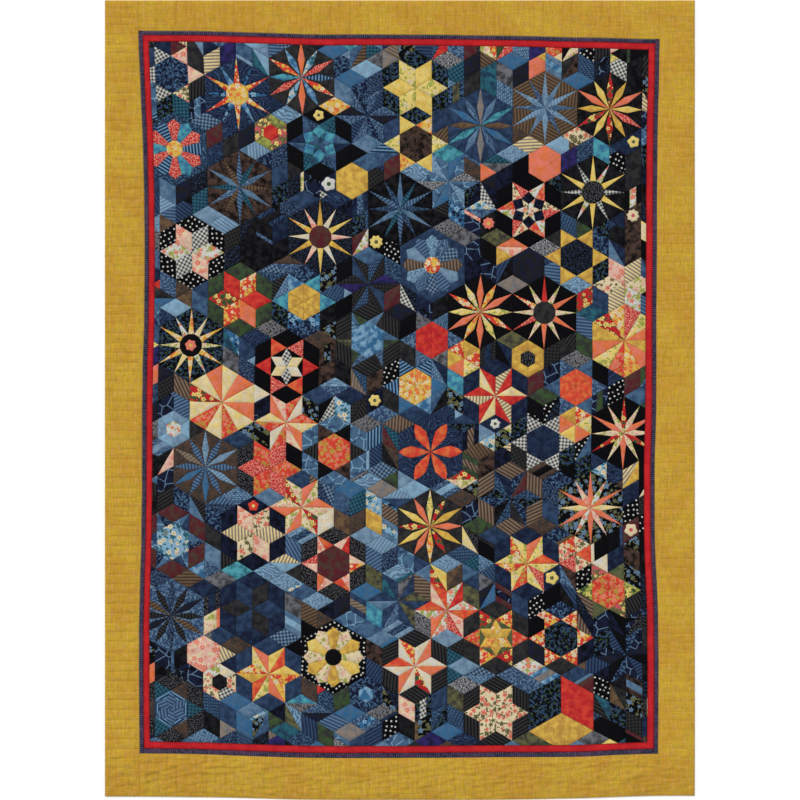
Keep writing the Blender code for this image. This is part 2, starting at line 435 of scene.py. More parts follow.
# Dyes, as they look in daylight, from 0 to 255
dyes = {
    "black": (10, 10, 13),
    "coal": (28, 28, 31),
    "soot": (46, 45, 46),
    "navy": (22, 27, 48),
    "midnight": (32, 46, 69),
    "indigo": (46, 65, 94),
    "denim": (66, 95, 123),
    "slate": (92, 117, 141),
    "steel": (112, 138, 160),
    "azure": (48, 92, 130),
    "sky": (120, 156, 180),
    "teal": (40, 90, 104),
    "turquoise": (74, 146, 158),
    "plum": (46, 38, 92),
    "brown": (70, 54, 47),
    "maroon": (80, 30, 38),
    "bark": (98, 78, 56),
    "olive": (90, 90, 60),
    "moss": (54, 74, 46),
    "lime": (144, 150, 72),
    "taupe": (126, 114, 104),
    "smoke": (100, 102, 108),
    "cream": (204, 188, 154),
    "pearl": (190, 190, 184),
    "butter": (208, 186, 108),
    "yellow": (202, 167, 74),
    "gold": (173, 132, 62),
    "orange": (203, 106, 60),
    "vermilion": (193, 62, 48),
    "red": (170, 36, 40),
    "coral": (204, 112, 94),
    "pink": (208, 165, 150),
    "rose": (182, 78, 86),
}

# The scrap baskets: each scrap is a way of printing or weaving, and the dyes of its ground, figure and accent
Scrap = namedtuple("Scrap", "cloth ground figure accent")
baskets = {
    "night": [
        Scrap("plain", "black", "black", "black"),
        Scrap("plain", "black", "coal", "black"),
        Scrap("plain", "black", "black", "coal"),
        Scrap("plain", "coal", "black", "coal"),
        Scrap("plain", "coal", "soot", "coal"),
        Scrap("plain", "navy", "black", "navy"),
        Scrap("plain", "navy", "midnight", "navy"),
        Scrap("plain", "brown", "black", "brown"),
        Scrap("plain", "maroon", "brown", "maroon"),
        Scrap("dots", "black", "pearl", "black"),
        Scrap("speckle", "black", "midnight", "soot"),
        Scrap("speckle", "black", "soot", "smoke"),
        Scrap("stripe", "coal", "soot", "black"),
        Scrap("vine", "black", "indigo", "moss"),
        Scrap("blossom", "black", "slate", "olive"),
        Scrap("check", "black", "soot", "coal"),
        Scrap("thread", "navy", "slate", "black"),
    ],
    "dark": [
        Scrap("plain", "midnight", "navy", "midnight"),
        Scrap("plain", "midnight", "indigo", "midnight"),
        Scrap("plain", "indigo", "midnight", "indigo"),
        Scrap("plain", "coal", "navy", "coal"),
        Scrap("plain", "soot", "coal", "soot"),
        Scrap("plain", "plum", "navy", "plum"),
        Scrap("plain", "moss", "soot", "moss"),
        Scrap("plain", "brown", "soot", "bark"),
        Scrap("speckle", "navy", "indigo", "slate"),
        Scrap("speckle", "midnight", "denim", "black"),
        Scrap("stripe", "midnight", "indigo", "navy"),
        Scrap("stripe", "brown", "bark", "soot"),
        Scrap("vine", "navy", "denim", "indigo"),
        Scrap("dash", "midnight", "denim", "indigo"),
        Scrap("check", "navy", "teal", "midnight"),
        Scrap("wave", "navy", "indigo", "midnight"),
    ],
    "mid": [
        Scrap("plain", "indigo", "denim", "indigo"),
        Scrap("plain", "denim", "indigo", "denim"),
        Scrap("plain", "denim", "slate", "denim"),
        Scrap("plain", "slate", "denim", "slate"),
        Scrap("plain", "olive", "soot", "olive"),
        Scrap("plain", "bark", "brown", "bark"),
        Scrap("plain", "smoke", "soot", "smoke"),
        Scrap("plain", "teal", "midnight", "teal"),
        Scrap("stripe", "denim", "indigo", "slate"),
        Scrap("stripe", "bark", "brown", "taupe"),
        Scrap("speckle", "indigo", "slate", "midnight"),
        Scrap("speckle", "smoke", "coal", "taupe"),
        Scrap("dash", "denim", "steel", "indigo"),
        Scrap("vine", "indigo", "slate", "denim"),
        Scrap("wave", "indigo", "slate", "denim"),
        Scrap("thread", "denim", "sky", "indigo"),
    ],
    "light": [
        Scrap("plain", "slate", "steel", "slate"),
        Scrap("plain", "steel", "slate", "steel"),
        Scrap("plain", "sky", "steel", "sky"),
        Scrap("plain", "azure", "denim", "azure"),
        Scrap("plain", "turquoise", "teal", "turquoise"),
        Scrap("plain", "taupe", "smoke", "taupe"),
        Scrap("stripe", "steel", "slate", "sky"),
        Scrap("stripe", "taupe", "bark", "smoke"),
        Scrap("speckle", "smoke", "soot", "pearl"),
        Scrap("speckle", "steel", "denim", "sky"),
        Scrap("wave", "slate", "sky", "denim"),
        Scrap("check", "slate", "midnight", "steel"),
    ],
    "fire": [
        Scrap("plain", "vermilion", "orange", "vermilion"),
        Scrap("plain", "orange", "coral", "orange"),
        Scrap("plain", "red", "vermilion", "red"),
        Scrap("plain", "coral", "orange", "coral"),
        Scrap("blossom", "vermilion", "cream", "yellow"),
        Scrap("blossom", "vermilion", "coral", "gold"),
        Scrap("blossom", "red", "butter", "moss"),
        Scrap("speckle", "red", "coral", "pink"),
    ],
    "sun": [
        Scrap("plain", "yellow", "gold", "yellow"),
        Scrap("plain", "gold", "yellow", "gold"),
        Scrap("plain", "butter", "yellow", "butter"),
        Scrap("blossom", "yellow", "cream", "orange"),
        Scrap("blossom", "butter", "cream", "lime"),
    ],
    "cream": [
        Scrap("plain", "cream", "pearl", "cream"),
        Scrap("plain", "cream", "butter", "cream"),
        Scrap("blossom", "cream", "pink", "lime"),
        Scrap("blossom", "cream", "coral", "olive"),
        Scrap("blossom", "pink", "coral", "cream"),
        Scrap("blossom", "pearl", "coral", "lime"),
        Scrap("stripe", "cream", "taupe", "butter"),
        Scrap("check", "pearl", "soot", "pearl"),
    ],
    "sea": [
        Scrap("plain", "azure", "denim", "azure"),
        Scrap("plain", "turquoise", "azure", "turquoise"),
        Scrap("plain", "azure", "sky", "azure"),
        Scrap("blossom", "azure", "sky", "navy"),
        Scrap("blossom", "sky", "cream", "teal"),
        Scrap("stripe", "azure", "midnight", "sky"),
    ],
    "leaf": [
        Scrap("plain", "lime", "olive", "lime"),
        Scrap("plain", "olive", "moss", "olive"),
        Scrap("blossom", "lime", "butter", "moss"),
        Scrap("blossom", "olive", "butter", "rose"),
    ],
}

# Which baskets the parts of a rosette are cut from
Theme = namedtuple("Theme", "weight pointOne pointTwo ground eye")
themes = {
    "ember": Theme(5, "fire", "cream", "night", "night"),
    "harvest": Theme(4, "sun", "fire", "night", "night"),
    "dawn": Theme(5, "cream", "fire", "night", "dark"),
    "moon": Theme(4, "cream", "sun", "night", "night"),
    "shore": Theme(4, "light", "sea", "night", "cream"),
    "dusk": Theme(4, "mid", "light", "dark", "fire"),
    "deep": Theme(4, "dark", "mid", "night", "sea"),
    "orchard": Theme(2, "leaf", "sun", "night", "fire"),
    "blaze": Theme(3, "fire", "sun", "dark", "leaf"),
    "harbour": Theme(3, "sea", "fire", "dark", "sun"),
    "shadow": Theme(3, "night", "dark", "mid", "fire"),
}

# The baskets of a loose diamond's three ways of lying, where the quilt is bluest, between, and blackest
groundTones = (("light", "mid", "dark"), ("mid", "dark", "night"), ("dark", "night", "night"))
designWeights = {
    "scrapStar": 3,
    "splitStar": 6,
    "compass": 6,
    "sunburst": 5,
    "hexagram": 4,
    "splitHexagram": 6,
    "starInStar": 5,
    "doubleStar": 5,
    "dresden": 4,
    "twelvePetals": 5,
    "kaleidoscope": 3,
    "petals": 2,
    "nested": 1,
    "blocks": 1,
    "bandedStar": 4,
    "whole": 3,
    "sliced": 3,
    "posy": 3,
}


def toLinear(dye):
    parts = [part / 255 for part in dye]
    return tuple(part / 12.92 if part <= 0.04045 else ((part + 0.055) / 1.055) ** 2.4 for part in parts)


def clothColor(dye):
    return (*toLinear(dye), 1.0)


# A cut patch: its outline in the straight layout, its scrap, and how the scrap was turned when it was cut
Cut = namedtuple("Cut", "outline scrap turn shift")
cutting = {
    "scrapsOfPoints": (1, 2, 3, 3, 6),      # how many scraps the points of a rosette may be cut from
    "rosetteTilt": 6,                       # degrees that a scrap may lie askew
    "patchTilt": 8,
}


def pick(chance, weights):
    # One of the names, the heavier ones more often
    return chance.choices(list(weights), list(weights.values()))[0]


def polar(place, distance, degrees):
    angle = math.radians(degrees)
    return place[0] + side * distance * math.cos(angle), place[1] + side * distance * math.sin(angle)


def cutRosette(rosette, chance):
    designs = designsOf[rosette.kind]
    design = designs[pick(chance, {name: designWeights[name] for name in sorted(designs)})]
    theme = themes[pick(chance, {name: themes[name].weight for name in sorted(themes)})]
    spin = chance.choice(range(0, 360, 60))
    chosen = {}
    for role in ("pointOne", "pointTwo", "ground", "eye"):
        count = 1 if role in ("eye", "ground") else chance.choice(cutting["scrapsOfPoints"])
        chosen[role] = [chance.choice(baskets[getattr(theme, role)]) for number in range(count)]
    cuts = []
    for piece in design:
        scraps = chosen[piece.role]
        for number in range(piece.repeat):
            turn = spin + number * 360 / piece.repeat
            outline = [polar(rosette.middle, distance, degrees + turn) for distance, degrees in piece.corners]
            tilted = math.radians(turn + chance.uniform(-cutting["rosetteTilt"], cutting["rosetteTilt"]))
            shift = (chance.random(), chance.random())
            cuts.append(Cut(outline, scraps[number % len(scraps)], tilted, shift))
    return cuts


# How often a loose diamond is whole or pieced, and from which basket its second scrap comes
splits = {"whole": 60, "longHalves": 13, "shortHalves": 6, "bands": 7, "cutTip": 8, "edged": 6}
bandShares = {"bands": (0.0, 0.30, 0.70, 1.0), "edged": (0.0, 0.80, 1.0)}
splitBaskets = {
    "night": ("dark", "mid", "night", "cream"),
    "dark": ("mid", "night", "light", "fire"),
    "mid": ("dark", "light", "sea"),
    "light": ("mid", "cream", "dark"),
    "cream": ("fire", "night", "sun"),
    "fire": ("cream", "night", "sun"),
    "sun": ("fire", "night"),
    "sea": ("dark", "light"),
}

# The quilt is bluer in some parts and blacker in others, with a few stray bright patches
blueness = {
    "size": 0.30,              # metres, about half the way from one blue part to the next
    "seed": 6.6,
    "chance": 0.18,
    "bluestAbove": 0.16,
    "blackestBelow": -0.12,
    "strayShare": 0.07,
    "strayBaskets": ("cream", "fire", "sun", "sea", "cream"),
}


def sidesOf(outline):
    # Each corner of a closed outline, with the next one
    return zip(outline, outline[1:] + outline[:1])


def partWay(a, b, share):
    return a[0] + (b[0] - a[0]) * share, a[1] + (b[1] - a[1]) * share


def splitDiamond(outline, way, chance):
    if way == "whole":
        return [outline]
    if math.dist(outline[0], outline[2]) < math.dist(outline[1], outline[3]):
        outline = outline[1:] + outline[:1]
    if chance.random() < 0.5:
        outline = outline[2:] + outline[:2]
    sharp, wide, farSharp, farWide = outline
    if way == "longHalves":
        return [[sharp, wide, farSharp], [sharp, farSharp, farWide]]
    if way == "shortHalves":
        return [[sharp, wide, farWide], [wide, farSharp, farWide]]
    if way == "cutTip":
        near, other = partWay(sharp, wide, 0.5), partWay(sharp, farWide, 0.5)
        return [[near, wide, farSharp, farWide, other], [sharp, near, other]]
    shares = bandShares[way]
    one = [partWay(sharp, wide, share) for share in shares]
    two = [partWay(farWide, farSharp, share) for share in shares]
    return [[one[n], one[n + 1], two[n + 1], two[n]] for n in range(len(shares) - 1)]


def facingOf(patch):
    # Which of its three ways a loose diamond lies. A lone triangle counts as the last.
    rows = [row for band, row in patch.cells]
    lowest = min(patch.cells, key=lambda cell: cell[1])
    if len(rows) == 2 and rows[0] == rows[1]:
        return 0
    if len(rows) == 2 and sum(lowest) % 2 == 0:
        return 1
    return 2


def basketAt(x, y, facing, chance):
    size, spread = blueness["size"], blueness["chance"]
    blue = noise.noise(Vector((x / size, y / size, blueness["seed"]))) + chance.uniform(-spread, spread)
    depth = 0 if blue > blueness["bluestAbove"] else (1 if blue > blueness["blackestBelow"] else 2)
    if chance.random() < blueness["strayShare"]:
        return chance.choice(blueness["strayBaskets"])
    return groundTones[depth][facing]


def cutPatch(patch, chance):
    spots = sorted({spot for cell in patch.cells for spot in cellCorners(cell)})
    heart = latticePoint(*(sum(spot[axis] for spot in spots) / len(spots) for axis in (0, 1)))

    def bearing(spot):
        x, y = latticePoint(*spot)
        return math.atan2(y - heart[1], x - heart[0])

    outline = [latticePoint(*spot) for spot in sorted(spots, key=bearing)]
    basket = basketAt(*heart, facingOf(patch), chance)
    way = pick(chance, splits) if len(outline) == 4 else "whole"
    scraps = [chance.choice(baskets[basket]), chance.choice(baskets[chance.choice(splitBaskets[basket])])]
    cuts = []
    for number, piece in enumerate(splitDiamond(outline, way, chance)):
        turn = chance.choice(range(0, 180, 30)) + chance.uniform(-cutting["patchTilt"], cutting["patchTilt"])
        shift = (chance.random(), chance.random())
        cuts.append(Cut(piece, scraps[number % 2], math.radians(turn), shift))
    return cuts


# The part of a convex outline that lies inside the straight edges of the centre
def trimmed(outline):
    lines = insideOf(centre, Sides(halfSeam, halfSeam, halfSeam, halfSeam))
    limits = [(0, lines.left, 1), (0, lines.right, -1), (1, lines.foot, 1), (1, lines.head, -1)]
    for axis, limit, inward in limits:
        kept = []
        for here, there in sidesOf(outline):
            depthHere = (here[axis] - limit) * inward
            depthThere = (there[axis] - limit) * inward
            if depthHere >= 0:
                kept.append(here)
            if depthHere * depthThere < 0:
                crossing = list(partWay(here, there, depthHere / (depthHere - depthThere)))
                crossing[axis] = limit
                kept.append(tuple(crossing))
        outline = kept
    return outline


# Points on a plane that are looked up by place, so that neighbours share their seams
class PointBoard:
    samePlace = 1e-5      # metres within which two points are one
    squareSize = 0.012

    def __init__(self):
        self.places = []
        self.squares = {}

    def near(self, low, high):
        first = [math.floor((value - self.samePlace) / self.squareSize) for value in low]
        last = [math.floor((value + self.samePlace) / self.squareSize) for value in high]
        for column in range(first[0], last[0] + 1):
            for row in range(first[1], last[1] + 1):
                yield from self.squares.get((column, row), ())

    def number(self, place):
        for found in self.near(place, place):
            if math.dist(self.places[found], place) < self.samePlace:
                return found
        self.places.append(tuple(place))
        square = tuple(math.floor(value / self.squareSize) for value in place)
        self.squares.setdefault(square, []).append(len(self.places) - 1)
        return len(self.places) - 1

    def numbersBetween(self, here, there):
        # Numbers of the points on the straight line from here to there, in order
        a, b = Vector(self.places[here]), Vector(self.places[there])
        length = (b - a).length
        low = [min(p, q) for p, q in zip(a, b)]
        high = [max(p, q) for p, q in zip(a, b)]
        found = []
        for number in self.near(low, high):
            along = (Vector(self.places[number]) - a).dot(b - a) / length
            off = (Vector(self.places[number]) - a - (b - a) * along / length).length
            if off < self.samePlace and self.samePlace < along < length - self.samePlace:
                found.append((along, number))
        return [number for along, number in sorted(found)]


# How the face of the centre is modelled between its seams
relief = {
    "seamStep": 0.0155,          # longest straight bit of a seam
    "rings": (0.93, 0.68, 0.36),  # where the rings of points lie, from the middle to the seam
    "ringLift": (0.42, 0.82, 0.97),
    "fullRadius": 0.0200,        # a patch this wide or wider is puffed in full
    "puffPower": 0.8,
}


def areaAndMiddle(outline):
    area = x = y = 0.0
    for (ax, ay), (bx, by) in sidesOf(outline):
        cross = ax * by - bx * ay
        area += cross / 2
        x += (ax + bx) * cross / 6
        y += (ay + by) * cross / 6
    return area, (x / area, y / area)


def centreCuts():
    chance = random.Random(piecing["seed"] + 1)
    rosettes, patches = layOutPiecing()
    cuts = [cut for rosette in rosettes for cut in cutRosette(rosette, chance)]
    cuts += [cut for patch in patches for cut in cutPatch(patch, chance)]
    kept = []
    for cut in cuts:
        outline = trimmed(cut.outline)
        if len(outline) >= 3:
            leftHanded = areaAndMiddle(outline)[0] < 0
            kept.append(cut._replace(outline=outline[::-1] if leftHanded else outline))
    return kept


# Collects the faces of a cloth with the scrap each one is cut from
class ClothFaces:
    def __init__(self):
        self.flat = []        # places in the straight layout, with height
        self.seam = []        # 1 on a seam, 0 inside a patch
        self.faces = []
        self.cutOfFace = []
        self.smooth = []

    def point(self, x, y, z, seam):
        self.flat.append((x, y, z))
        self.seam.append(seam)
        return len(self.flat) - 1

    def face(self, corners, cut, smooth=True):
        self.faces.append(corners)
        self.cutOfFace.append(cut)
        self.smooth.append(smooth)


def puffPatch(cloth, number, seamPoints):
    outline = [cloth.flat[point] for point in seamPoints]
    area, heart = areaAndMiddle([place[:2] for place in outline])
    perimeter = sum(math.dist(a[:2], b[:2]) for a, b in sidesOf(outline))
    fullness = min(1.0, 2 * area / perimeter / relief["fullRadius"]) ** relief["puffPower"]
    puff = (quilt["crownHeight"] - quilt["stitchHeight"]) * fullness
    ground = sum(place[2] for place in outline) / len(outline)
    last = seamPoints
    for share, lift in zip(relief["rings"], relief["ringLift"]):
        ring = []
        for x, y, z in outline:
            height = z * share + ground * (1 - share) + puff * lift
            ring.append(cloth.point(*partWay(heart, (x, y), share), height, 0))
        for (a, b), (c, d) in zip(sidesOf(last), sidesOf(ring)):
            cloth.face((a, b, d, c), number)
        last = ring
    crown = cloth.point(*heart, ground + puff, 0)
    for here, there in sidesOf(last):
        cloth.face((here, there, crown), number)


def buildCentreFaces(cuts):
    board = PointBoard()
    outlines = [[board.number(place) for place in cut.outline] for cut in cuts]
    joined = []
    for outline in outlines:
        numbers = []
        for here, there in sidesOf(outline):
            if here != there:
                numbers += [here] + board.numbersBetween(here, there)
        joined.append(numbers)

    cloth = ClothFaces()
    seamPoint = {}

    def seamNumber(place):
        key = board.number(place)
        if key not in seamPoint:
            seamPoint[key] = cloth.point(*place, quilt["stitchHeight"], 1)
        return seamPoint[key]

    for number, outline in enumerate(joined):
        seam = []
        for here, there in sidesOf(outline):
            # Both neighbours of a seam divide it from its same end, so that their points meet
            a, b = Vector(board.places[min(here, there)]), Vector(board.places[max(here, there)])
            steps = max(1, math.ceil((b - a).length / relief["seamStep"]))
            places = [tuple(a.lerp(b, step / steps)) for step in range(steps + 1)]
            if here > there:
                places.reverse()
            seam += [seamNumber(place) for place in places[:-1]]
        puffPatch(cloth, number, seam)
    return cloth


def closeUnder(cloth, backing):
    # Walls down from the open rim, and the flat underside
    edges = {pair for face in cloth.faces for pair in sidesOf(face)}
    following = {here: there for here, there in edges if (there, here) not in edges}
    start = min(following)
    rim = [start]
    while following[rim[-1]] != start:
        rim.append(following[rim[-1]])
    under = [cloth.point(*cloth.flat[point][:2], 0.0, 0) for point in rim]
    heart = cloth.point(*middle, 0.0, 0)
    for (a, b), (c, d) in zip(sidesOf(rim), sidesOf(under)):
        cloth.face((b, a, c, d), backing, smooth=False)
        cloth.face((d, c, heart), backing, smooth=False)


centrePatches = centreCuts()
centreFaces = buildCentreFaces(centrePatches)
closeUnder(centreFaces, len(centrePatches))
print("pieces cut:", len(centrePatches), "faces:", len(centreFaces.faces))


# Node trees are written with short calls. A value given to one is a constant or another node's output.
class Recipe:
    nodesInRow = 12
    nodeSpacing = (190, 260)      # in the node editor

    def __init__(self, tree):
        self.tree = tree

    def feed(self, socket, value):
        if isinstance(value, bpy.types.NodeSocket):
            self.tree.links.new(value, socket)
        else:
            socket.default_value = value

    def node(self, kind, inputs, output, **settings):
        node = self.tree.nodes.new(kind)
        for name, value in settings.items():
            setattr(node, name, value)
        for name, value in inputs.items():
            self.feed(node.inputs[name], value)
        row, column = divmod(len(self.tree.nodes), self.nodesInRow)
        node.location = (self.nodeSpacing[0] * column, -self.nodeSpacing[1] * row)
        return node.outputs[output]

    def value(self, operation, *values):
        return self.node("ShaderNodeMath", dict(enumerate(values)), 0, operation=operation)

    def vector(self, operation, *values):
        return self.node("ShaderNodeVectorMath", dict(enumerate(values)), "Vector", operation=operation)

    def scaled(self, vector, factor):
        return self.node("ShaderNodeVectorMath", {0: vector, 3: factor}, "Vector", operation="SCALE")

    def length(self, vector):
        return self.node("ShaderNodeVectorMath", {0: vector}, "Value", operation="LENGTH")

    def part(self, vector, axis):
        return self.node("ShaderNodeSeparateXYZ", {0: vector}, axis)

    def attribute(self, name, output):
        return self.node("ShaderNodeAttribute", {}, output, attribute_name=name)

    def noise(self, place, scale, detail=2.0):
        inputs = {"Vector": place, "Scale": scale, "Detail": detail}
        return self.node("ShaderNodeTexNoise", inputs, 0, noise_dimensions="2D")

    def voronoi(self, place, randomness, output, **settings):
        inputs = {"Vector": place, "Scale": 1.0, "Randomness": randomness}
        return self.node("ShaderNodeTexVoronoi", inputs, output, voronoi_dimensions="2D", **settings)

    def ramp(self, value, low, high):
        # 0 at low, 1 at high, and smooth between them
        inputs = {"Value": value, "From Min": low, "From Max": high}
        return self.node("ShaderNodeMapRange", inputs, 0, interpolation_type="SMOOTHSTEP")

    def apart(self, value, other):
        return self.value("ABSOLUTE", self.value("SUBTRACT", value, other))

    def fromMiddle(self, value):
        # How far a value lies from the middle of its repeat, which is 1 long
        return self.apart(self.value("FRACT", value), 0.5)

    def blend(self, share, one, two):
        return self.node("ShaderNodeMix", {0: share, 6: one, 7: two}, 2, data_type="RGBA")


def startGroup(name, inputs, outputs):
    tree = bpy.data.node_groups.new(name, "ShaderNodeTree")
    for label, kind in inputs.items():
        tree.interface.new_socket(label, in_out="INPUT", socket_type=kind)
    for label, kind in outputs.items():
        tree.interface.new_socket(label, in_out="OUTPUT", socket_type=kind)
    given = tree.nodes.new("NodeGroupInput").outputs
    asked = tree.nodes.new("NodeGroupOutput").inputs
    return Recipe(tree), given, asked


def useGroup(recipe, group, inputs):
    node = recipe.tree.nodes.new("ShaderNodeGroup")
    node.node_tree = group
    for name, value in inputs.items():
        recipe.feed(node.inputs[name], value)
    return node.outputs


# The prints. Each gives the masks of its figure and its accent, at a place counted in repeats.
# A pair in these shapes is where a mask is 0 and where it is 1.
mottleShape = {"cloud": (0.35, 0.68), "fleckScale": 5.0, "fleck": (0.5, 0.8)}
dotShape = {"scatter": 0.34, "edge": (0.23, 0.15), "tintScale": 2.3, "tint": (0.62, 0.66)}
speckleShape = {"speck": (0.50, 0.58), "tintScale": 1.7, "tint": (0.60, 0.66)}
bandEdge = (0.27, 0.23)
pinstripe = {"offset": 0.40, "edge": (0.07, 0.04)}
checkShape = {"once": 0.55, "twice": 0.45, "gap": (0.5, 0.0), "gapShare": 0.6}
dashShape = {"rows": 1.9, "shift": 0.37, "row": (0.30, 0.22), "dash": (0.34, 0.26), "tintScale": 1.3,
             "tint": (0.55, 0.68)}
waveShape = {"bendScale": 0.45, "bend": 3.0, "crest": (0.35, 0.65), "trough": (-0.75, -0.92)}
scatterShape = {"randomness": 0.85, "spin": 6.0, "smallest": 0.6, "larger": 0.7}
blossomShape = {"reach": 0.36, "sway": 0.09, "edge": (-0.03, 0.03), "heart": (0.12, 0.07),
                "otherDye": (0.60, 0.62), "leafReach": 0.20, "leafSway": 0.12, "leafEdge": (-0.01, 0.02)}
vineShape = {"bendScale": 0.9, "stem": (0.022, 0.010), "leaves": 1.6, "leafReach": 0.26, "leafSway": 0.15,
             "leafEdge": (-0.02, 0.03), "tintScale": 2.6, "tint": (0.60, 0.66)}
netShape = {"line": (0.050, 0.025), "tintScale": 1.5, "tint": (0.52, 0.7)}


def tinted(recipe, place, shape):
    # Scattered places where the accent shows
    return recipe.ramp(recipe.noise(place, shape["tintScale"]), *shape["tint"])


def mottlePrint(recipe, place):
    cloud = recipe.ramp(recipe.noise(place, 1.0, 4.0), *mottleShape["cloud"])
    return cloud, recipe.ramp(recipe.noise(place, mottleShape["fleckScale"], 3.0), *mottleShape["fleck"])


def dotPrint(recipe, place):
    dot = recipe.ramp(recipe.voronoi(place, dotShape["scatter"], "Distance"), *dotShape["edge"])
    return dot, tinted(recipe, place, dotShape)


def specklePrint(recipe, place):
    speck = recipe.ramp(recipe.noise(place, 1.0, 3.0), *speckleShape["speck"])
    return speck, tinted(recipe, recipe.vector("ADD", place, (7.3, 2.1, 0.0)), speckleShape)


def stripePrint(recipe, place):
    fromStripe = recipe.fromMiddle(recipe.part(place, "X"))
    thin = recipe.ramp(recipe.apart(fromStripe, pinstripe["offset"]), *pinstripe["edge"])
    return recipe.ramp(fromStripe, *bandEdge), thin


def checkPrint(recipe, place):
    bands = [recipe.ramp(recipe.fromMiddle(recipe.part(place, axis)), *bandEdge) for axis in ("X", "Y")]
    either = recipe.value("MAXIMUM", *bands)
    both = recipe.value("MULTIPLY", recipe.value("MULTIPLY", *bands), checkShape["twice"])
    check = recipe.value("MULTIPLY_ADD", either, checkShape["once"], both)
    gap = recipe.ramp(either, *checkShape["gap"])
    return check, recipe.value("MULTIPLY", gap, checkShape["gapShare"])


def dashPrint(recipe, place):
    row = recipe.value("MULTIPLY", recipe.part(place, "Y"), dashShape["rows"])
    shift = recipe.value("MULTIPLY", recipe.value("FLOOR", row), dashShape["shift"])
    along = recipe.value("ADD", recipe.part(place, "X"), shift)
    inRow = recipe.ramp(recipe.fromMiddle(row), *dashShape["row"])
    inDash = recipe.ramp(recipe.fromMiddle(along), *dashShape["dash"])
    return recipe.value("MULTIPLY", inRow, inDash), tinted(recipe, place, dashShape)


def wavePrint(recipe, place):
    bend = recipe.noise(place, waveShape["bendScale"], 1.0)
    bent = recipe.value("MULTIPLY_ADD", bend, waveShape["bend"], recipe.part(place, "Y"))
    crest = recipe.value("SINE", recipe.value("MULTIPLY", bent, math.tau))
    return recipe.ramp(crest, *waveShape["crest"]), recipe.ramp(crest, *waveShape["trough"])


def scatterFlowers(recipe, place, petals, reach, sway):
    # The nearest of many scattered flowers: how far inside its edge a place lies, how far from its middle,
    # and a chance value of its own
    shape = scatterShape
    flower = recipe.voronoi(place, shape["randomness"], "Position")
    chances = recipe.voronoi(place, shape["randomness"], "Color")
    offset = recipe.vector("SUBTRACT", place, flower)
    angle = recipe.value("ARCTAN2", recipe.part(offset, "Y"), recipe.part(offset, "X"))
    spin = recipe.value("MULTIPLY", recipe.part(chances, "X"), shape["spin"])
    turned = recipe.value("MULTIPLY_ADD", angle, float(petals), spin)
    edge = recipe.value("MULTIPLY_ADD", recipe.value("COSINE", turned), sway, reach)
    size = recipe.value("MULTIPLY_ADD", recipe.part(chances, "Y"), shape["larger"], shape["smallest"])
    distance = recipe.length(recipe.vector("MULTIPLY", offset, (1.0, 1.0, 0.0)))
    inside = recipe.value("SUBTRACT", recipe.value("MULTIPLY", edge, size), distance)
    return inside, distance, recipe.part(chances, "Z")


def blossomPrint(recipe, place):
    shape = blossomShape
    inside, distance, chance = scatterFlowers(recipe, place, 5, shape["reach"], shape["sway"])
    petals = recipe.ramp(inside, *shape["edge"])
    heart = recipe.ramp(distance, *shape["heart"])
    otherDye = recipe.value("MULTIPLY", petals, recipe.ramp(chance, *shape["otherDye"]))
    moved = recipe.vector("ADD", place, (0.5, 0.5, 0.0))
    leaf = scatterFlowers(recipe, moved, 2, shape["leafReach"], shape["leafSway"])[0]
    bare = recipe.value("SUBTRACT", 1.0, petals)
    leaves = recipe.value("MULTIPLY", recipe.ramp(leaf, *shape["leafEdge"]), bare)
    return petals, recipe.value("MAXIMUM", recipe.value("MAXIMUM", heart, leaves), otherDye)


def vinePrint(recipe, place):
    shape = vineShape
    stem = recipe.ramp(recipe.apart(recipe.noise(place, shape["bendScale"], 1.0), 0.5), *shape["stem"])
    closer = recipe.scaled(place, shape["leaves"])
    leaf = scatterFlowers(recipe, closer, 2, shape["leafReach"], shape["leafSway"])[0]
    vine = recipe.value("MAXIMUM", stem, recipe.ramp(leaf, *shape["leafEdge"]))
    return vine, tinted(recipe, place, shape)


def netPrint(recipe, place):
    edge = recipe.voronoi(place, 1.0, "Distance", feature="DISTANCE_TO_EDGE")
    return recipe.ramp(edge, *netShape["line"]), tinted(recipe, place, netShape)


def printGroup(name, drawPrint):
    # A print takes the cloth's grain in metres and the size of its repeat
    recipe, given, asked = startGroup(name, {"grain": "NodeSocketVector", "repeat": "NodeSocketFloat"},
                                      {"figure": "NodeSocketFloat", "accent": "NodeSocketFloat"})
    place = recipe.scaled(given["grain"], recipe.value("DIVIDE", 1.0, given["repeat"]))
    figure, accent = drawPrint(recipe, place)
    recipe.feed(asked["figure"], figure)
    recipe.feed(asked["accent"], accent)
    return recipe.tree


def weaveGroup(slubWidth):
    # Uneven threads both ways: how light each place is, and how high
    recipe, given, asked = startGroup("weave", {"grain": "NodeSocketVector", "threads": "NodeSocketFloat"},
                                      {"shade": "NodeSocketFloat", "height": "NodeSocketFloat"})
    place = recipe.scaled(given["grain"], given["threads"])
    warp = recipe.noise(recipe.vector("MULTIPLY", place, (1.0, slubWidth, 1.0)), 1.0)
    weft = recipe.noise(recipe.vector("MULTIPLY", place, (slubWidth, 1.0, 1.0)), 1.0)
    both = recipe.value("ADD", warp, weft)
    recipe.feed(asked["shade"], recipe.value("SUBTRACT", both, 1.0))
    recipe.feed(asked["height"], both)
    return recipe.tree


weave = weaveGroup(slubWidth=0.07)      # a slub's width for each 1 of its length
clothGloss = 0.04                       # all the cottons are matt

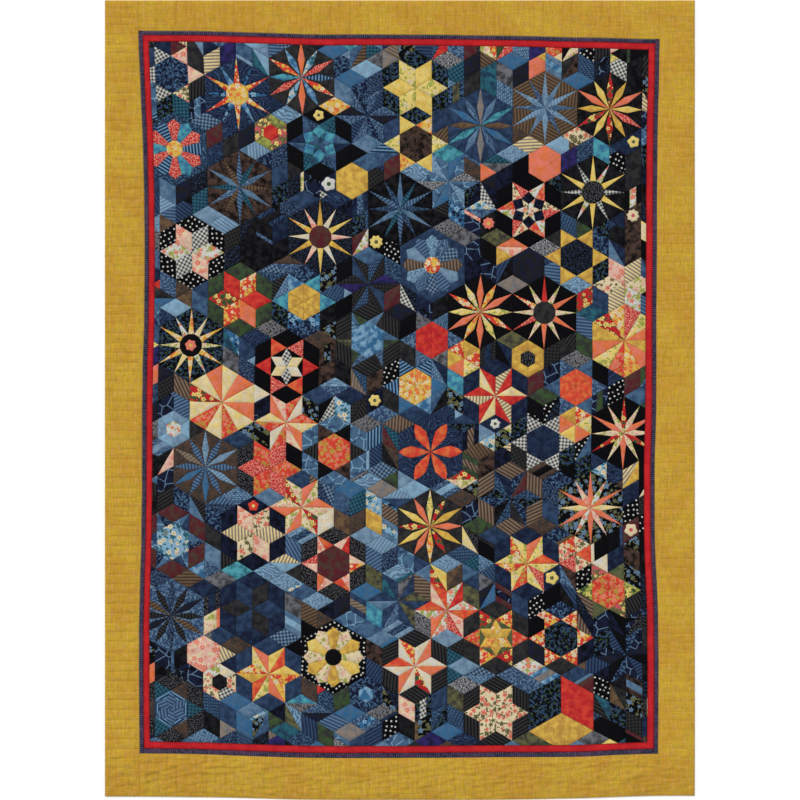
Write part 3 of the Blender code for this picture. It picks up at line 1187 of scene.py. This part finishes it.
# How the cottons of the centre look. "repeat" is the size of the print in metres.
cottons = {
    "plain": {"print": mottlePrint, "repeat": 0.016},
    "dots": {"print": dotPrint, "repeat": 0.0120},
    "speckle": {"print": specklePrint, "repeat": 0.0048},
    "stripe": {"print": stripePrint, "repeat": 0.0080},
    "check": {"print": checkPrint, "repeat": 0.0085},
    "dash": {"print": dashPrint, "repeat": 0.0095},
    "wave": {"print": wavePrint, "repeat": 0.0090},
    "blossom": {"print": blossomPrint, "repeat": 0.0150},
    "vine": {"print": vinePrint, "repeat": 0.0190},
    "thread": {"print": netPrint, "repeat": 0.0280},
}
cottonFinish = {
    "threads": 700.0,       # per metre
    "threadShade": 0.55,
    "threadHeight": 0.00012,
    "paintedSeamShade": 0.42,      # how dark the painted shade in the dip at a seam is
    "seamFrom": 0.35,       # where it starts, from 0 inside a patch to 1 on its seam
    "wear": 0.34,           # how much lighter or darker it is from place to place
    "wearSize": 0.034,      # metres
    "roughness": 0.88,
}


def startCloth(name, threads):
    material = bpy.data.materials.new(name)
    material.use_nodes = True
    recipe = Recipe(material.node_tree)
    grain = recipe.node("ShaderNodeUVMap", {}, "UV", uv_map="clothGrain")
    weaving = useGroup(recipe, weave, {"grain": grain, "threads": threads})
    return material, recipe, grain, weaving


def finishCloth(material, recipe, color, height, look):
    inputs = {"Strength": 1.0, "Distance": look["threadHeight"], "Height": height}
    shader = material.node_tree.nodes["Principled BSDF"]
    recipe.feed(shader.inputs["Base Color"], color)
    recipe.feed(shader.inputs["Normal"], recipe.node("ShaderNodeBump", inputs, "Normal"))
    shader.inputs["Roughness"].default_value = look["roughness"]
    shader.inputs["Specular IOR Level"].default_value = clothGloss
    return material


def paintedSeamShade(recipe, look):
    # Painted shade: 1 inside a cloth, and less at its seams, where the dip between pieces lies in shade
    seam = recipe.ramp(recipe.attribute("seamNear", "Fac"), look["seamFrom"], 1.0)
    return recipe.value("MULTIPLY_ADD", seam, -look["paintedSeamShade"], 1.0)


def cottonMaterial(name, look):
    material, recipe, grain, threads = startCloth(name + "Cotton", cottonFinish["threads"])
    drawn = printGroup(name + "Print", look["print"])
    masks = useGroup(recipe, drawn, {"grain": grain, "repeat": look["repeat"]})
    color = recipe.blend(masks["figure"], recipe.attribute("groundDye", "Color"),
                         recipe.attribute("figureDye", "Color"))
    color = recipe.blend(masks["accent"], color, recipe.attribute("accentDye", "Color"))
    place = recipe.node("ShaderNodeTexCoord", {}, "Object")
    wear = recipe.value("SUBTRACT", recipe.noise(place, 1 / cottonFinish["wearSize"], 3.0), 0.5)
    bright = recipe.value("MULTIPLY_ADD", wear, cottonFinish["wear"], paintedSeamShade(recipe, cottonFinish))
    bright = recipe.value("MULTIPLY_ADD", threads["shade"], cottonFinish["threadShade"], bright)
    return finishCloth(material, recipe, recipe.scaled(color, bright), threads["height"], cottonFinish)


# How the border's mustard cotton looks: a slubby weave with a faint windowpane of darker threads, and
# soft blotches of other dyes. The scales say how many a metre holds. A pair is where a mask is 0 and 1.
Blotch = namedtuple("Blotch", "dye scale edge share")
mustardLook = {
    "gold": (186, 144, 46),
    "citrus": (192, 158, 50),
    "citrusScale": 9.0,
    "citrusEdge": (0.36, 0.66),
    "blotches": (
        Blotch((190, 120, 54), (80.0, 40.0, 1.0), (0.52, 0.72), 0.34),
        Blotch((194, 150, 82), (105.0, 60.0, 1.0), (0.44, 0.70), 0.50),
        Blotch((156, 130, 60), (170.0, 60.0, 1.0), (0.50, 0.72), 0.36),
    ),
    "paneDye": (160, 119, 46),
    "pane": 0.0078,                  # metres between the darker threads
    "paneEdge": (0.17, 0.05),
    "paneSlub": (-0.20, 0.22),       # the panes show where the slubs are light
    "paneShares": (0.50, 0.275),     # of the threads along the quilt, and of those across it
    "paneWander": 2.4,
    "wanderScale": 45.0,
    "threads": 520.0,
    "coarser": 2.6,                  # the slubs are this much coarser than the threads
    "threadShade": 0.36,
    "threadHeight": 0.0003,
    "foot": (-0.88, -0.96),          # where along the quilt its foot starts to be darker, and is in full
    "footShade": 0.045,
    "roughness": 0.9,
}


def mustardMaterial(look):
    material, recipe, grain, threads = startCloth("mustardCotton", look["threads"])
    slubs = useGroup(recipe, weave, {"grain": grain, "threads": look["threads"] / look["coarser"]})
    cloud = recipe.ramp(recipe.noise(grain, look["citrusScale"]), *look["citrusEdge"])
    color = recipe.blend(cloud, clothColor(look["gold"]), clothColor(look["citrus"]))
    for blotch in look["blotches"]:
        field = recipe.noise(recipe.vector("MULTIPLY", grain, blotch.scale), 1.0, 3.0)
        share = recipe.value("MULTIPLY", recipe.ramp(field, *blotch.edge), blotch.share)
        color = recipe.blend(share, color, clothColor(blotch.dye))
    wander = recipe.value("MULTIPLY", recipe.noise(grain, look["wanderScale"], 3.0), look["paneWander"])
    panes = []
    for axis, share in zip(("X", "Y"), look["paneShares"]):
        place = recipe.value("MULTIPLY_ADD", recipe.part(grain, axis), 1 / look["pane"], wander)
        line = recipe.ramp(recipe.fromMiddle(place), *look["paneEdge"])
        panes.append(recipe.value("MULTIPLY", line, share))
    light = recipe.ramp(slubs["shade"], *look["paneSlub"])
    pane = recipe.value("MULTIPLY", recipe.value("MAXIMUM", *panes), light)
    color = recipe.blend(pane, color, clothColor(look["paneDye"]))
    foot = recipe.ramp(recipe.part(grain, "Y"), *look["foot"])
    bright = recipe.value("MULTIPLY_ADD", foot, -look["footShade"], 1.0)
    for weaving in (threads, slubs):
        bright = recipe.value("MULTIPLY_ADD", weaving["shade"], look["threadShade"], bright)
    return finishCloth(material, recipe, recipe.scaled(color, bright), slubs["height"], look)


redLook = {
    "ground": (171, 31, 38),
    "faded": (189, 38, 41),
    "fadedScale": 30.0,
    "fadedEdge": (0.35, 0.7),
    # the painted shade of the dips along the strip's seams
    "paintedSeamShade": 0.40,
    "seamFrom": 0.10,
    "threads": 620.0,
    "threadShade": 0.25,
    "threadHeight": 0.00015,
    "roughness": 0.9,
}


def redMaterial(look):
    material, recipe, grain, threads = startCloth("redCotton", look["threads"])
    faded = recipe.ramp(recipe.noise(grain, look["fadedScale"], 3.0), *look["fadedEdge"])
    color = recipe.blend(faded, clothColor(look["ground"]), clothColor(look["faded"]))
    bright = recipe.value("MULTIPLY_ADD", threads["shade"], look["threadShade"], paintedSeamShade(recipe, look))
    return finishCloth(material, recipe, recipe.scaled(color, bright), threads["height"], look)


navyLook = {
    "ground": (40, 37, 55),
    "violet": (68, 47, 68),
    "violetScale": 14.0,
    "violetEdge": (0.4, 0.62),
    "tick": (96, 92, 116),
    "tickPitch": 0.0053,
    "tickEdge": (0.24, 0.10),
    "tickShare": 0.75,
    "wornScale": 120.0,
    "wornEdge": (0.30, 0.62),
    "rim": (120, 122, 106),           # a paler line along the outer edge
    "rimEdge": (0.0016, 0.0006),      # metres
    "rimShare": 0.8,
    # the painted shade of the dips along the strip's seams
    "paintedSeamShade": 0.25,
    "seamFrom": 0.30,
    "threads": 620.0,
    "threadShade": 0.3,
    "threadHeight": 0.00015,
    "roughness": 0.9,
}


def navyMaterial(look):
    # The grain runs along the strip as Y, and across it as X from its outer edge
    material, recipe, grain, threads = startCloth("navyTickedCotton", look["threads"])
    violet = recipe.ramp(recipe.noise(grain, look["violetScale"], 2.0), *look["violetEdge"])
    color = recipe.blend(violet, clothColor(look["ground"]), clothColor(look["violet"]))
    along = recipe.value("MULTIPLY", recipe.part(grain, "Y"), 1 / look["tickPitch"])
    tick = recipe.ramp(recipe.fromMiddle(along), *look["tickEdge"])
    worn = recipe.ramp(recipe.noise(grain, look["wornScale"], 2.0), *look["wornEdge"])
    share = recipe.value("MULTIPLY", recipe.value("MULTIPLY", tick, worn), look["tickShare"])
    color = recipe.blend(share, color, clothColor(look["tick"]))
    rim = recipe.ramp(recipe.part(grain, "X"), *look["rimEdge"])
    color = recipe.blend(recipe.value("MULTIPLY", rim, look["rimShare"]), color, clothColor(look["rim"]))
    bright = recipe.value("MULTIPLY_ADD", threads["shade"], look["threadShade"], paintedSeamShade(recipe, look))
    return finishCloth(material, recipe, recipe.scaled(color, bright), threads["height"], look)


# Makes the piece of cloth from its faces, and hides the CAD piece it stands for
def sewCloth(name, cloth, node, materials, materialOf, grainOf, dyesOf=None):
    mesh = bpy.data.meshes.new(name)
    mesh.from_pydata(settled(cloth.flat).tolist(), [], cloth.faces)
    for material in materials:
        mesh.materials.append(material)
    mesh.polygons.foreach_set("material_index", [materialOf(cut) for cut in cloth.cutOfFace])
    mesh.polygons.foreach_set("use_smooth", cloth.smooth)

    flatPlaces = np.array(cloth.flat)
    cornerPoints = np.concatenate([np.array(face) for face in cloth.faces])
    cornerCuts = np.repeat(np.array(cloth.cutOfFace), [len(face) for face in cloth.faces])
    grain = mesh.uv_layers.new(name="clothGrain")
    grain.data.foreach_set("uv", grainOf(flatPlaces[cornerPoints], cornerCuts).astype(np.float32).ravel())
    # seamNear tells the materials where to paint the shade of the dips at the seams
    seamNear = mesh.attributes.new("seamNear", "FLOAT", "POINT")
    seamNear.data.foreach_set("value", np.array(cloth.seam, np.float32))
    for dye, values in (dyesOf(cornerCuts) if dyesOf else {}).items():
        attribute = mesh.attributes.new(dye, "FLOAT_COLOR", "CORNER")
        attribute.data.foreach_set("color", values.astype(np.float32).ravel())

    mesh.validate()
    mesh.update()
    print(name, "triangles:", sum(len(face) - 2 for face in cloth.faces))
    piece = bpy.data.objects.new(name, mesh)
    scene.collection.objects.link(piece)
    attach(piece, "root")
    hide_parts(node)
    return piece


def sewCentre():
    backing = Cut([], Scrap("plain", "indigo", "indigo", "indigo"), 0.0, (0.0, 0.0))
    allCuts = centrePatches + [backing]
    cloths = list(cottons)
    materials = [cottonMaterial(name, look) for name, look in cottons.items()]
    turns = np.array([cut.turn for cut in allCuts])
    shifts = np.array([cut.shift for cut in allCuts])

    def grainOf(places, numbers):
        turn = turns[numbers]
        x, y = places[:, 0], places[:, 1]
        return np.stack([
            x * np.cos(turn) + y * np.sin(turn) + shifts[numbers, 0],
            y * np.cos(turn) - x * np.sin(turn) + shifts[numbers, 1],
        ], axis=1)

    def dyesOf(numbers):
        tables = {}
        for part in ("ground", "figure", "accent"):
            table = np.array([clothColor(dyes[getattr(cut.scrap, part)]) for cut in allCuts])
            tables[part + "Dye"] = table[numbers]
        return tables

    return sewCloth("patchworkCentre", centreFaces, "patchwork_centre", materials,
                    lambda number: cloths.index(allCuts[number].scrap.cloth), grainOf, dyesOf)


patchwork = sewCentre()
print("centre sewn")

# The border's cloths: quilting lines across them, with a puffed ridge between each two
borderShape = {
    "hemHeight": 0.0034,
    "foldHeight": 0.0024,             # at the very edge, where the cloth is turned under
    "hemSteps": (0.0, 0.0014, 0.0040, 0.0080, 0.012),
    "hemFade": 0.010,                 # small relief grows from nothing over this much
    "edgeSlope": 0.014,
    "rimRoundness": 0.6,
    "leastHeight": 0.0022,
    "acrossStep": 0.0026,
    "jointFade": 0.026,               # the lines fade out this near to a joint between two borders
    "jointFullness": 0.5,
    "ridgePitch": 0.024,
    "lineDepth": {"border_left": 0.78, "border_right": 0.48, "border_bottom": 0.60, "border_top": 0.72},
    "lineJitter": 0.0022,             # how far a line may stand from its even place
    "lineWaver": 0.0017,
    "waverPitch": 0.036,
    "waverApart": 3.7,                # how unlike its neighbour's a line's waver is
    "stations": (0.0, 0.07, 0.25, 0.5, 0.75, 0.93),      # of each ridge, from one line to the next
    "crowns": (0.0, 0.56, 0.90, 1.0, 0.90, 0.56),
    "fullness": 0.72,
    "fullnessChange": 0.56,
    "fullnessPitch": 0.05,
    "leastFullness": 0.3,
    "cornerDip": 0.0011,              # how much deeper the lines lie near the lower left corner
    "cornerReach": (0.26, 0.75),
    "cornerStart": 1.3,
    "puckerHeight": 0.00042,
    "puckerPitch": (0.010, 0.030),    # across the border and along it
}
crinkleShape = {
    "height": 0.0030,                 # of the slanting crinkles in the lower border
    "pitch": (0.030, 0.0085),
    "slant": (0.3, 0.16),
    "more": 0.5,                      # by which they grow towards the left, from where and over how much
    "moreFrom": -0.2,
    "moreReach": 0.4,
}
stripShape = {
    "alongStep": 0.006,
    "crown": 0.0052,
    "roundness": 0.6,
    "change": 0.5,
    "changePitch": 0.013,
    "shares": (0.0, 0.12, 0.30, 0.5, 0.70, 0.88, 1.0),
}
noiseRows = {"fullness": 2.2, "pucker": 9.1, "crinkle": 4.7, "strip": 4.4}

# Creases pressed into the lower border: from and to, in metres on the straight layout
Crease = namedtuple("Crease", "start end depth width")
creaseShape = {"taper": 0.05, "sway": 0.0025, "swayRate": 38.0}
creases = [
    Crease((-0.735, -0.925), (-0.560, -0.918), 0.0013, 0.0050),
    Crease((-0.700, -0.950), (-0.360, -0.944), 0.0012, 0.0055),
    Crease((-0.735, -0.972), (-0.520, -0.966), 0.0012, 0.0050),
    Crease((-0.560, -0.905), (-0.300, -0.911), 0.0008, 0.0050),
    Crease((-0.330, -0.962), (-0.060, -0.956), 0.0009, 0.0060),
    Crease((-0.020, -0.930), (0.250, -0.937), 0.0007, 0.0060),
    Crease((0.160, -0.968), (0.450, -0.962), 0.0008, 0.0060),
    Crease((0.400, -0.925), (0.640, -0.930), 0.0008, 0.0060),
    Crease((0.560, -0.955), (0.720, -0.950), 0.0009, 0.0060),
]


def creaseDepth(x, y):
    depth = np.zeros(x.shape)
    for crease in creases:
        (ax, ay), (bx, by) = crease.start, crease.end
        length = math.hypot(bx - ax, by - ay)
        along = ((x - ax) * (bx - ax) + (y - ay) * (by - ay)) / length
        off = ((y - ay) * (bx - ax) - (x - ax) * (by - ay)) / length
        off += creaseShape["sway"] * np.sin(along * creaseShape["swayRate"])
        taper = np.clip(np.minimum(along, length - along) / creaseShape["taper"], 0, 1)
        depth += crease.depth * taper * np.exp(-((off / crease.width) ** 2))
    return depth


def closeGrid(cloth, xs, ys, heights, seams, flipped):
    # The face is a grid of points. Its rim is walled down to an underside with the same rim.
    rows, columns = xs.shape
    spots = [(row, column) for row in range(rows) for column in range(columns)]
    top = {spot: cloth.point(xs[spot], ys[spot], heights[spot], seams[spot]) for spot in spots}
    for row, column in spots:
        corners = [(row, column), (row, column + 1), (row + 1, column + 1), (row + 1, column)]
        if corners[2] in top:
            cloth.face(tuple(top[spot] for spot in corners), 0)

    rim = [(0, column) for column in range(columns)]
    rim += [(row, columns - 1) for row in range(1, rows)]
    rim += [(rows - 1, column) for column in range(columns - 2, -1, -1)]
    rim += [(row, 0) for row in range(rows - 2, 0, -1)]
    under = {spot: cloth.point(xs[spot], ys[spot], 0.0, 0) for spot in rim}
    for here, there in sidesOf(rim):
        cloth.face((top[there], top[here], under[here], under[there]), 0, smooth=False)

    # The underside is a row of bands between the two long sides
    for row in range(rows - 1):
        near = [(0, column) for column in range(columns)] if row == 0 else [(row, 0), (row, columns - 1)]
        far = [(row + 1, columns - 1), (row + 1, 0)]
        if row == rows - 2:
            far = [(rows - 1, column) for column in range(columns - 1, -1, -1)]
        cloth.face(tuple(under[spot] for spot in (near + far)[::-1]), 0, smooth=False)
    if flipped:
        cloth.faces = [face[::-1] for face in cloth.faces]


def eased(distance, reach):
    # 0 at the start, 1 from the reach on, and level at both ends
    share = np.clip(distance / reach, 0, 1)
    return share * share * (3 - 2 * share)


def frameDistances(xs, ys, outside, inside):
    # How far each place of a frame lies from its outside, and from its inside in both directions
    gaps = (xs - outside.left, outside.right - xs, ys - outside.foot, outside.head - ys)
    fromOutside = np.minimum.reduce(gaps)
    beside = np.maximum(np.maximum(inside.left - xs, xs - inside.right), 0)
    beyond = np.maximum(np.maximum(inside.foot - ys, ys - inside.head), 0)
    return fromOutside, beside, beyond


def crinkles(xs, ys):
    long, short = crinkleShape["pitch"]
    slantX, slantY = crinkleShape["slant"]
    waves = rippled((xs + slantX * ys) / long, (ys - slantY * xs) / short, 1.0, noiseRows["crinkle"])
    reach = crinkleShape["moreReach"]
    leftward = np.clip(crinkleShape["moreFrom"] - xs, 0, reach) / reach
    return crinkleShape["height"] * waves * (1 + crinkleShape["more"] * leftward)


def borderHeights(xs, ys, crowns, axis):
    shape = borderShape
    slope = shape["edgeSlope"]
    fromHem, beside, beyond = frameDistances(xs, ys, outer, navy)
    fromJoint = np.minimum(np.abs(xs - navy.left), np.abs(xs - navy.right))
    offHem = np.clip(fromHem / shape["hemFade"], 0, 1)
    lined = 1 - (1 - eased(fromJoint, shape["jointFade"])) * eased(beyond, slope)

    fullness = shape["fullness"]
    fullness += shape["fullnessChange"] * rippled(xs, ys, shape["fullnessPitch"], noiseRows["fullness"])
    fullness = np.clip(fullness, shape["leastFullness"], 1.0)
    ridges = lined * crowns * fullness + (1 - lined) * shape["jointFullness"]
    climb = np.clip(fromHem / slope, 0, 1)
    edges = climb ** shape["rimRoundness"] * eased(np.hypot(beside, beyond), slope)
    heights = shape["hemHeight"] + (quilt["stitchHeight"] - shape["hemHeight"]) * climb
    heights += (quilt["crownHeight"] - quilt["stitchHeight"]) * edges * ridges

    reachX, reachY = shape["cornerReach"]
    fromCorner = np.hypot((xs - outer.left) / reachX, (ys - outer.foot) / reachY)
    dip = shape["cornerDip"] * np.clip(shape["cornerStart"] - fromCorner, 0, 1)
    heights -= dip * (1 - crowns) ** 2 * lined * offHem

    along, sideways = (ys, xs) if axis == "Y" else (xs, ys)
    pitchAcross, pitchAlong = shape["puckerPitch"]
    pucker = rippled(sideways / pitchAcross, along / pitchAlong, 1.0, noiseRows["pucker"])
    heights += shape["puckerHeight"] * pucker * lined * offHem
    heights += crinkles(xs, ys) * eased(fromJoint, slope) * eased(navy.foot - ys, slope) * offHem
    heights = np.maximum(heights - creaseDepth(xs, ys) * edges, shape["leastHeight"])
    return np.where(fromHem < 1e-6, shape["foldHeight"], heights)


def layBorder(name, node, axis, length, sides):
    chance = random.Random(name)
    shape = borderShape
    count = round((length[1] - length[0]) / shape["ridgePitch"])
    pitch = (length[1] - length[0]) / count
    outerSide, seamSide = max(sides, key=abs), min(sides, key=abs)
    width = abs(outerSide - seamSide)
    hemSteps = np.array(shape["hemSteps"])
    steps = round((width - hemSteps[-1]) / shape["acrossStep"])
    fromEdge = np.append(hemSteps[:-1], np.linspace(hemSteps[-1], width, steps + 1))
    sideways = np.sort(outerSide + fromEdge * (1 if seamSide > outerSide else -1))

    ridge = np.append(np.repeat(np.arange(count), len(shape["stations"])), count - 1)
    share = np.append(np.tile(shape["stations"], count), 1.0)[:, None]
    crowns = np.append(np.tile(shape["crowns"], count), 0.0)[:, None]
    crowns = 1 - shape["lineDepth"][node] * (1 - crowns)
    # Each line wavers, and stands a little off its even place. The first and the last are the border's ends.
    lineRow = np.arange(count + 1)[:, None] * shape["waverApart"]
    shift = shape["lineWaver"] * rippled(sideways[None, :] / shape["waverPitch"], lineRow, 1.0, len(name))
    shift += np.array([chance.uniform(-1, 1) * shape["lineJitter"] for line in range(count + 1)])[:, None]
    shift[[0, -1]] = 0
    drift = shift[ridge] * (1 - share) + shift[ridge + 1] * share
    along = length[0] + (ridge[:, None] + share) * pitch + drift
    xs, ys = np.broadcast_arrays(sideways[None, :], along)
    if axis == "X":
        xs, ys = ys, xs

    cloth = ClothFaces()
    closeGrid(cloth, xs, ys, borderHeights(xs, ys, crowns, axis), np.zeros(xs.shape), axis == "X")
    piece = sewCloth(name, cloth, node, [mustardCotton],
                     lambda number: 0, lambda places, numbers: places[:, :2])
    lineRows = range(len(shape["stations"]), len(xs) - 1, len(shape["stations"]))
    return piece, [list(zip(xs[row], ys[row])) for row in lineRows]


def layStrip(name, node, axis, length, sides, frameLines, material, slot):
    outerSide = max(sides, key=abs)
    low, high = min(sides), max(sides)
    steps = (high - low) * np.array(stripShape["shares"])
    rows = round((length[1] - length[0]) / stripShape["alongStep"]) + 1
    along = np.linspace(length[0] + steps[-1], length[1] - steps[-1], rows)
    along = np.concatenate([length[0] + steps[:-1], along, length[1] - steps[-2::-1]])
    xs, ys = np.meshgrid(low + steps, along)
    if axis == "X":
        xs, ys = ys, xs

    # The height depends on the place in the whole frame of strips, so they meet smoothly at its corners
    fromOutside, beside, beyond = frameDistances(xs, ys, *frameLines)
    share = (fromOutside / (fromOutside + np.hypot(beside, beyond))).clip(0, 1)
    change = 1 + stripShape["change"] * rippled(xs, ys, stripShape["changePitch"], noiseRows["strip"])
    puff = (stripShape["crown"] - quilt["stitchHeight"]) * change
    heights = quilt["stitchHeight"] + puff * np.sin(math.pi * share).clip(0, 1) ** stripShape["roundness"]
    cloth = ClothFaces()
    # the seam values, 1 at the strip's edges, place its painted seam shade
    closeGrid(cloth, xs, ys, heights, (2 * share - 1) ** 2, axis == "X")

    def grainOf(places, numbers):
        x, y = places[:, 0], places[:, 1]
        fromOuter = np.abs((x if axis == "Y" else y) - outerSide)
        return np.stack([fromOuter, y if axis == "Y" else x], axis=1)

    sewCloth(name, cloth, node, [material],
             lambda number: 0, grainOf)


def layFrame(prefix, nodePrefix, outside, inside, outerGap, layPiece):
    # Two long cloths at the sides, and two between them at the foot and the head
    length = (outside.foot + outerGap, outside.head - outerGap)
    width = (inside.left + halfSeam, inside.right - halfSeam)
    places = [
        ("Left", "_left", "Y", length, (outside.left + outerGap, inside.left - halfSeam)),
        ("Right", "_right", "Y", length, (inside.right + halfSeam, outside.right - outerGap)),
        ("Foot", "_bottom", "X", width, (outside.foot + outerGap, inside.foot - halfSeam)),
        ("Head", "_top", "X", width, (inside.head + halfSeam, outside.head - outerGap)),
    ]
    return [layPiece(prefix + name, nodePrefix + node, *place) for name, node, *place in places]


mustardCotton = mustardMaterial(mustardLook)
redCotton = redMaterial(redLook)
navyCotton = navyMaterial(navyLook)

layFrame("redStrip", "red_strip", red, centre, halfSeam,
         lambda *place: layStrip(*place, (red, centre), redCotton, "red_cotton"))
layFrame("navyStrip", "navy_strip", navy, red, halfSeam,
         lambda *place: layStrip(*place, (navy, red), navyCotton, "navy_ticked_cotton"))
borders = layFrame("border", "border", outer, navy, 0.0, layBorder)
print("strips and borders laid")


# Many small things are one mesh, each set on the cloth below it
class SmallThings:
    def __init__(self):
        self.points = []
        self.faces = []
        self.dyes = []       # of each face

    def make(self, name, material):
        mesh = bpy.data.meshes.new(name)
        mesh.from_pydata(self.points, [], self.faces)
        mesh.materials.append(material)
        if self.dyes:
            colors = np.repeat(np.array(self.dyes), [len(face) for face in self.faces], axis=0)
            attribute = mesh.attributes.new("groundDye", "FLOAT_COLOR", "CORNER")
            attribute.data.foreach_set("color", colors.astype(np.float32).ravel())
        mesh.polygons.foreach_set("use_smooth", [True] * len(self.faces))
        mesh.update()
        thing = bpy.data.objects.new(name, mesh)
        scene.collection.objects.link(thing)
        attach(thing, "root")
        return thing


aboveAll = 0.05      # metres, higher than any cloth


def surfaceOf(piece):
    return BVHTree.FromPolygons([point.co for point in piece.data.vertices],
                                [tuple(face.vertices) for face in piece.data.polygons])


def heightOn(surface, x, y):
    found = surface.ray_cast(Vector((x, y, aboveAll)), Vector((0, 0, -1)))[0]
    return found.z if found else None


def startSmall(name):
    material = bpy.data.materials.new(name)
    material.use_nodes = True
    recipe = Recipe(material.node_tree)
    return material, recipe, recipe.node("ShaderNodeTexCoord", {}, "Object")


stitch = {
    "length": 0.0027,
    "pitch": 0.0054,
    "width": 0.0006,
    "height": 0.00030,
    "fromStart": 0.006,       # of a quilting line
    "fromEnd": 0.004,
    "lookAhead": 0.002,       # metres over which the direction of a stitch is found
}
threadLook = {
    "dark": (150, 112, 44),
    "pale": (196, 160, 84),
    "fiberScale": 900.0,
    "fiberEdge": (0.3, 0.7),
    "threadHeight": 0.0001,
    "roughness": 0.8,
}


def threadMaterial(look):
    material, recipe, place = startSmall("quiltingThread")
    fiber = recipe.noise(place, look["fiberScale"])
    share = recipe.ramp(fiber, *look["fiberEdge"])
    color = recipe.blend(share, clothColor(look["dark"]), clothColor(look["pale"]))
    return finishCloth(material, recipe, color, fiber, look)


def addStitch(things, surface, place, direction):
    # Two low pyramids, one above the cloth and one below it
    height = heightOn(surface, *place)
    if height is None:
        return
    ahead = Vector((*direction, 0)).normalized()
    aside = Vector((-ahead.y, ahead.x, 0))
    up = Vector((0, 0, stitch["height"]))
    heart = Vector((*place, height))
    start = len(things.points)
    for step in (ahead * stitch["length"] / 2, aside * stitch["width"] / 2, -ahead * stitch["length"] / 2,
                 -aside * stitch["width"] / 2, up, -up):
        things.points.append(tuple(heart + step))
    for here in range(4):
        there = (here + 1) % 4
        things.faces.append((start + here, start + there, start + 4))
        things.faces.append((start + there, start + here, start + 5))


def placeOn(path, gone, distance):
    return [float(np.interp(distance, gone, path[:, axis])) for axis in (0, 1)]


def sewStitches():
    things = SmallThings()
    for piece, lines in borders:
        surface = surfaceOf(piece)
        for line in lines:
            path = settled([(x, y, 0.0) for x, y in line])[:, :2]
            gone = np.concatenate([[0.0], np.cumsum(np.hypot(*np.diff(path, axis=0).T))])
            for along in np.arange(stitch["fromStart"], gone[-1] - stitch["fromEnd"], stitch["pitch"]):
                place = placeOn(path, gone, along)
                ahead = placeOn(path, gone, along + stitch["lookAhead"])
                addStitch(things, surface, place, (ahead[0] - place[0], ahead[1] - place[1]))
    things.make("quiltingStitches", threadMaterial(threadLook))
    print("stitches sewn:", len(things.points) // 6)


sewStitches()

# Flowers cut from cloth and sewn onto dark patches
flowerShape = {
    "count": 12,
    "reach": (0.013, 0.019),
    "petals": (5, 5, 6, 8),
    "petalDepth": 0.20,
    "notchGrowth": 1.4,         # towards the rim
    "points": 40,
    "rings": ((1.0, 0.0003), (0.97, 0.0011), (0.62, 0.0015), (0.30, 0.0012)),
    "thickness": 0.0008,
    "spacing": 0.16,
    "leastPatch": 0.0016,       # square metres
}
# The petals' dye and the heart's
flowerDyes = (("butter", "olive"), ("cream", "rose"), ("coral", "yellow"), ("pearl", "moss"),
              ("vermilion", "butter"))
flowerLook = {
    "cloudScale": 160.0,
    "cloudShade": 0.5,
    "darkest": 0.75,
    "threadHeight": 0.0002,
    "roughness": 0.88,
}


def flowerMaterial(look):
    material, recipe, place = startSmall("flowerCotton")
    cloud = recipe.noise(place, look["cloudScale"], 3.0)
    bright = recipe.value("MULTIPLY_ADD", cloud, look["cloudShade"], look["darkest"])
    color = recipe.scaled(recipe.attribute("groundDye", "Color"), bright)
    return finishCloth(material, recipe, color, cloud, look)


def addFlower(things, surface, place, chance):
    reach = chance.uniform(*flowerShape["reach"])
    petals = chance.choice(flowerShape["petals"])
    spin = chance.uniform(0, math.tau)
    petalDye, heartDye = (clothColor(dyes[name]) for name in chance.choice(flowerDyes))
    count = flowerShape["points"]

    def addFace(corners, dye):
        things.faces.append(tuple(corners))
        things.dyes.append(dye)

    rings = []
    for share, lift in flowerShape["rings"]:
        rings.append(list(range(len(things.points), len(things.points) + count)))
        for step in range(count):
            angle = step * math.tau / count
            notched = (0.5 - 0.5 * math.cos(petals * angle)) * min(1, share * flowerShape["notchGrowth"])
            distance = reach * share * (1 - flowerShape["petalDepth"] * notched)
            x = place[0] + distance * math.cos(angle + spin)
            y = place[1] + distance * math.sin(angle + spin)
            things.points.append((x, y, heightOn(surface, x, y) + lift))
    for outside, inside in zip(rings, rings[1:]):
        for (a, b), (c, d) in zip(sidesOf(outside), sidesOf(inside)):
            addFace((a, b, d, c), petalDye)
    addFace(rings[-1], heartDye)

    under = list(range(len(things.points), len(things.points) + count))
    for point in rings[0]:
        x, y, z = things.points[point]
        things.points.append((x, y, z - flowerShape["thickness"]))
    for (a, b), (c, d) in zip(sidesOf(rings[0]), sidesOf(under)):
        addFace((b, a, c, d), petalDye)
    addFace(under[::-1], petalDye)


def sewFlowers():
    chance = random.Random(piecing["seed"] + 5)
    surface = surfaceOf(patchwork)
    things = SmallThings()
    dark = [cut for cut in centrePatches if cut.scrap.cloth == "plain" and cut.scrap in baskets["night"]
            and abs(areaAndMiddle(cut.outline)[0]) > flowerShape["leastPatch"]]
    chance.shuffle(dark)
    places = []
    for cut in dark:
        place = settled([(*areaAndMiddle(cut.outline)[1], 0.0)])[0][:2]
        apart = all(math.dist(place, other) > flowerShape["spacing"] for other in places)
        if apart and len(places) < flowerShape["count"]:
            places.append(place)
            addFlower(things, surface, place, chance)
    things.make("sewnFlowers", flowerMaterial(flowerLook))
    print("flowers sewn:", len(places))


sewFlowers()
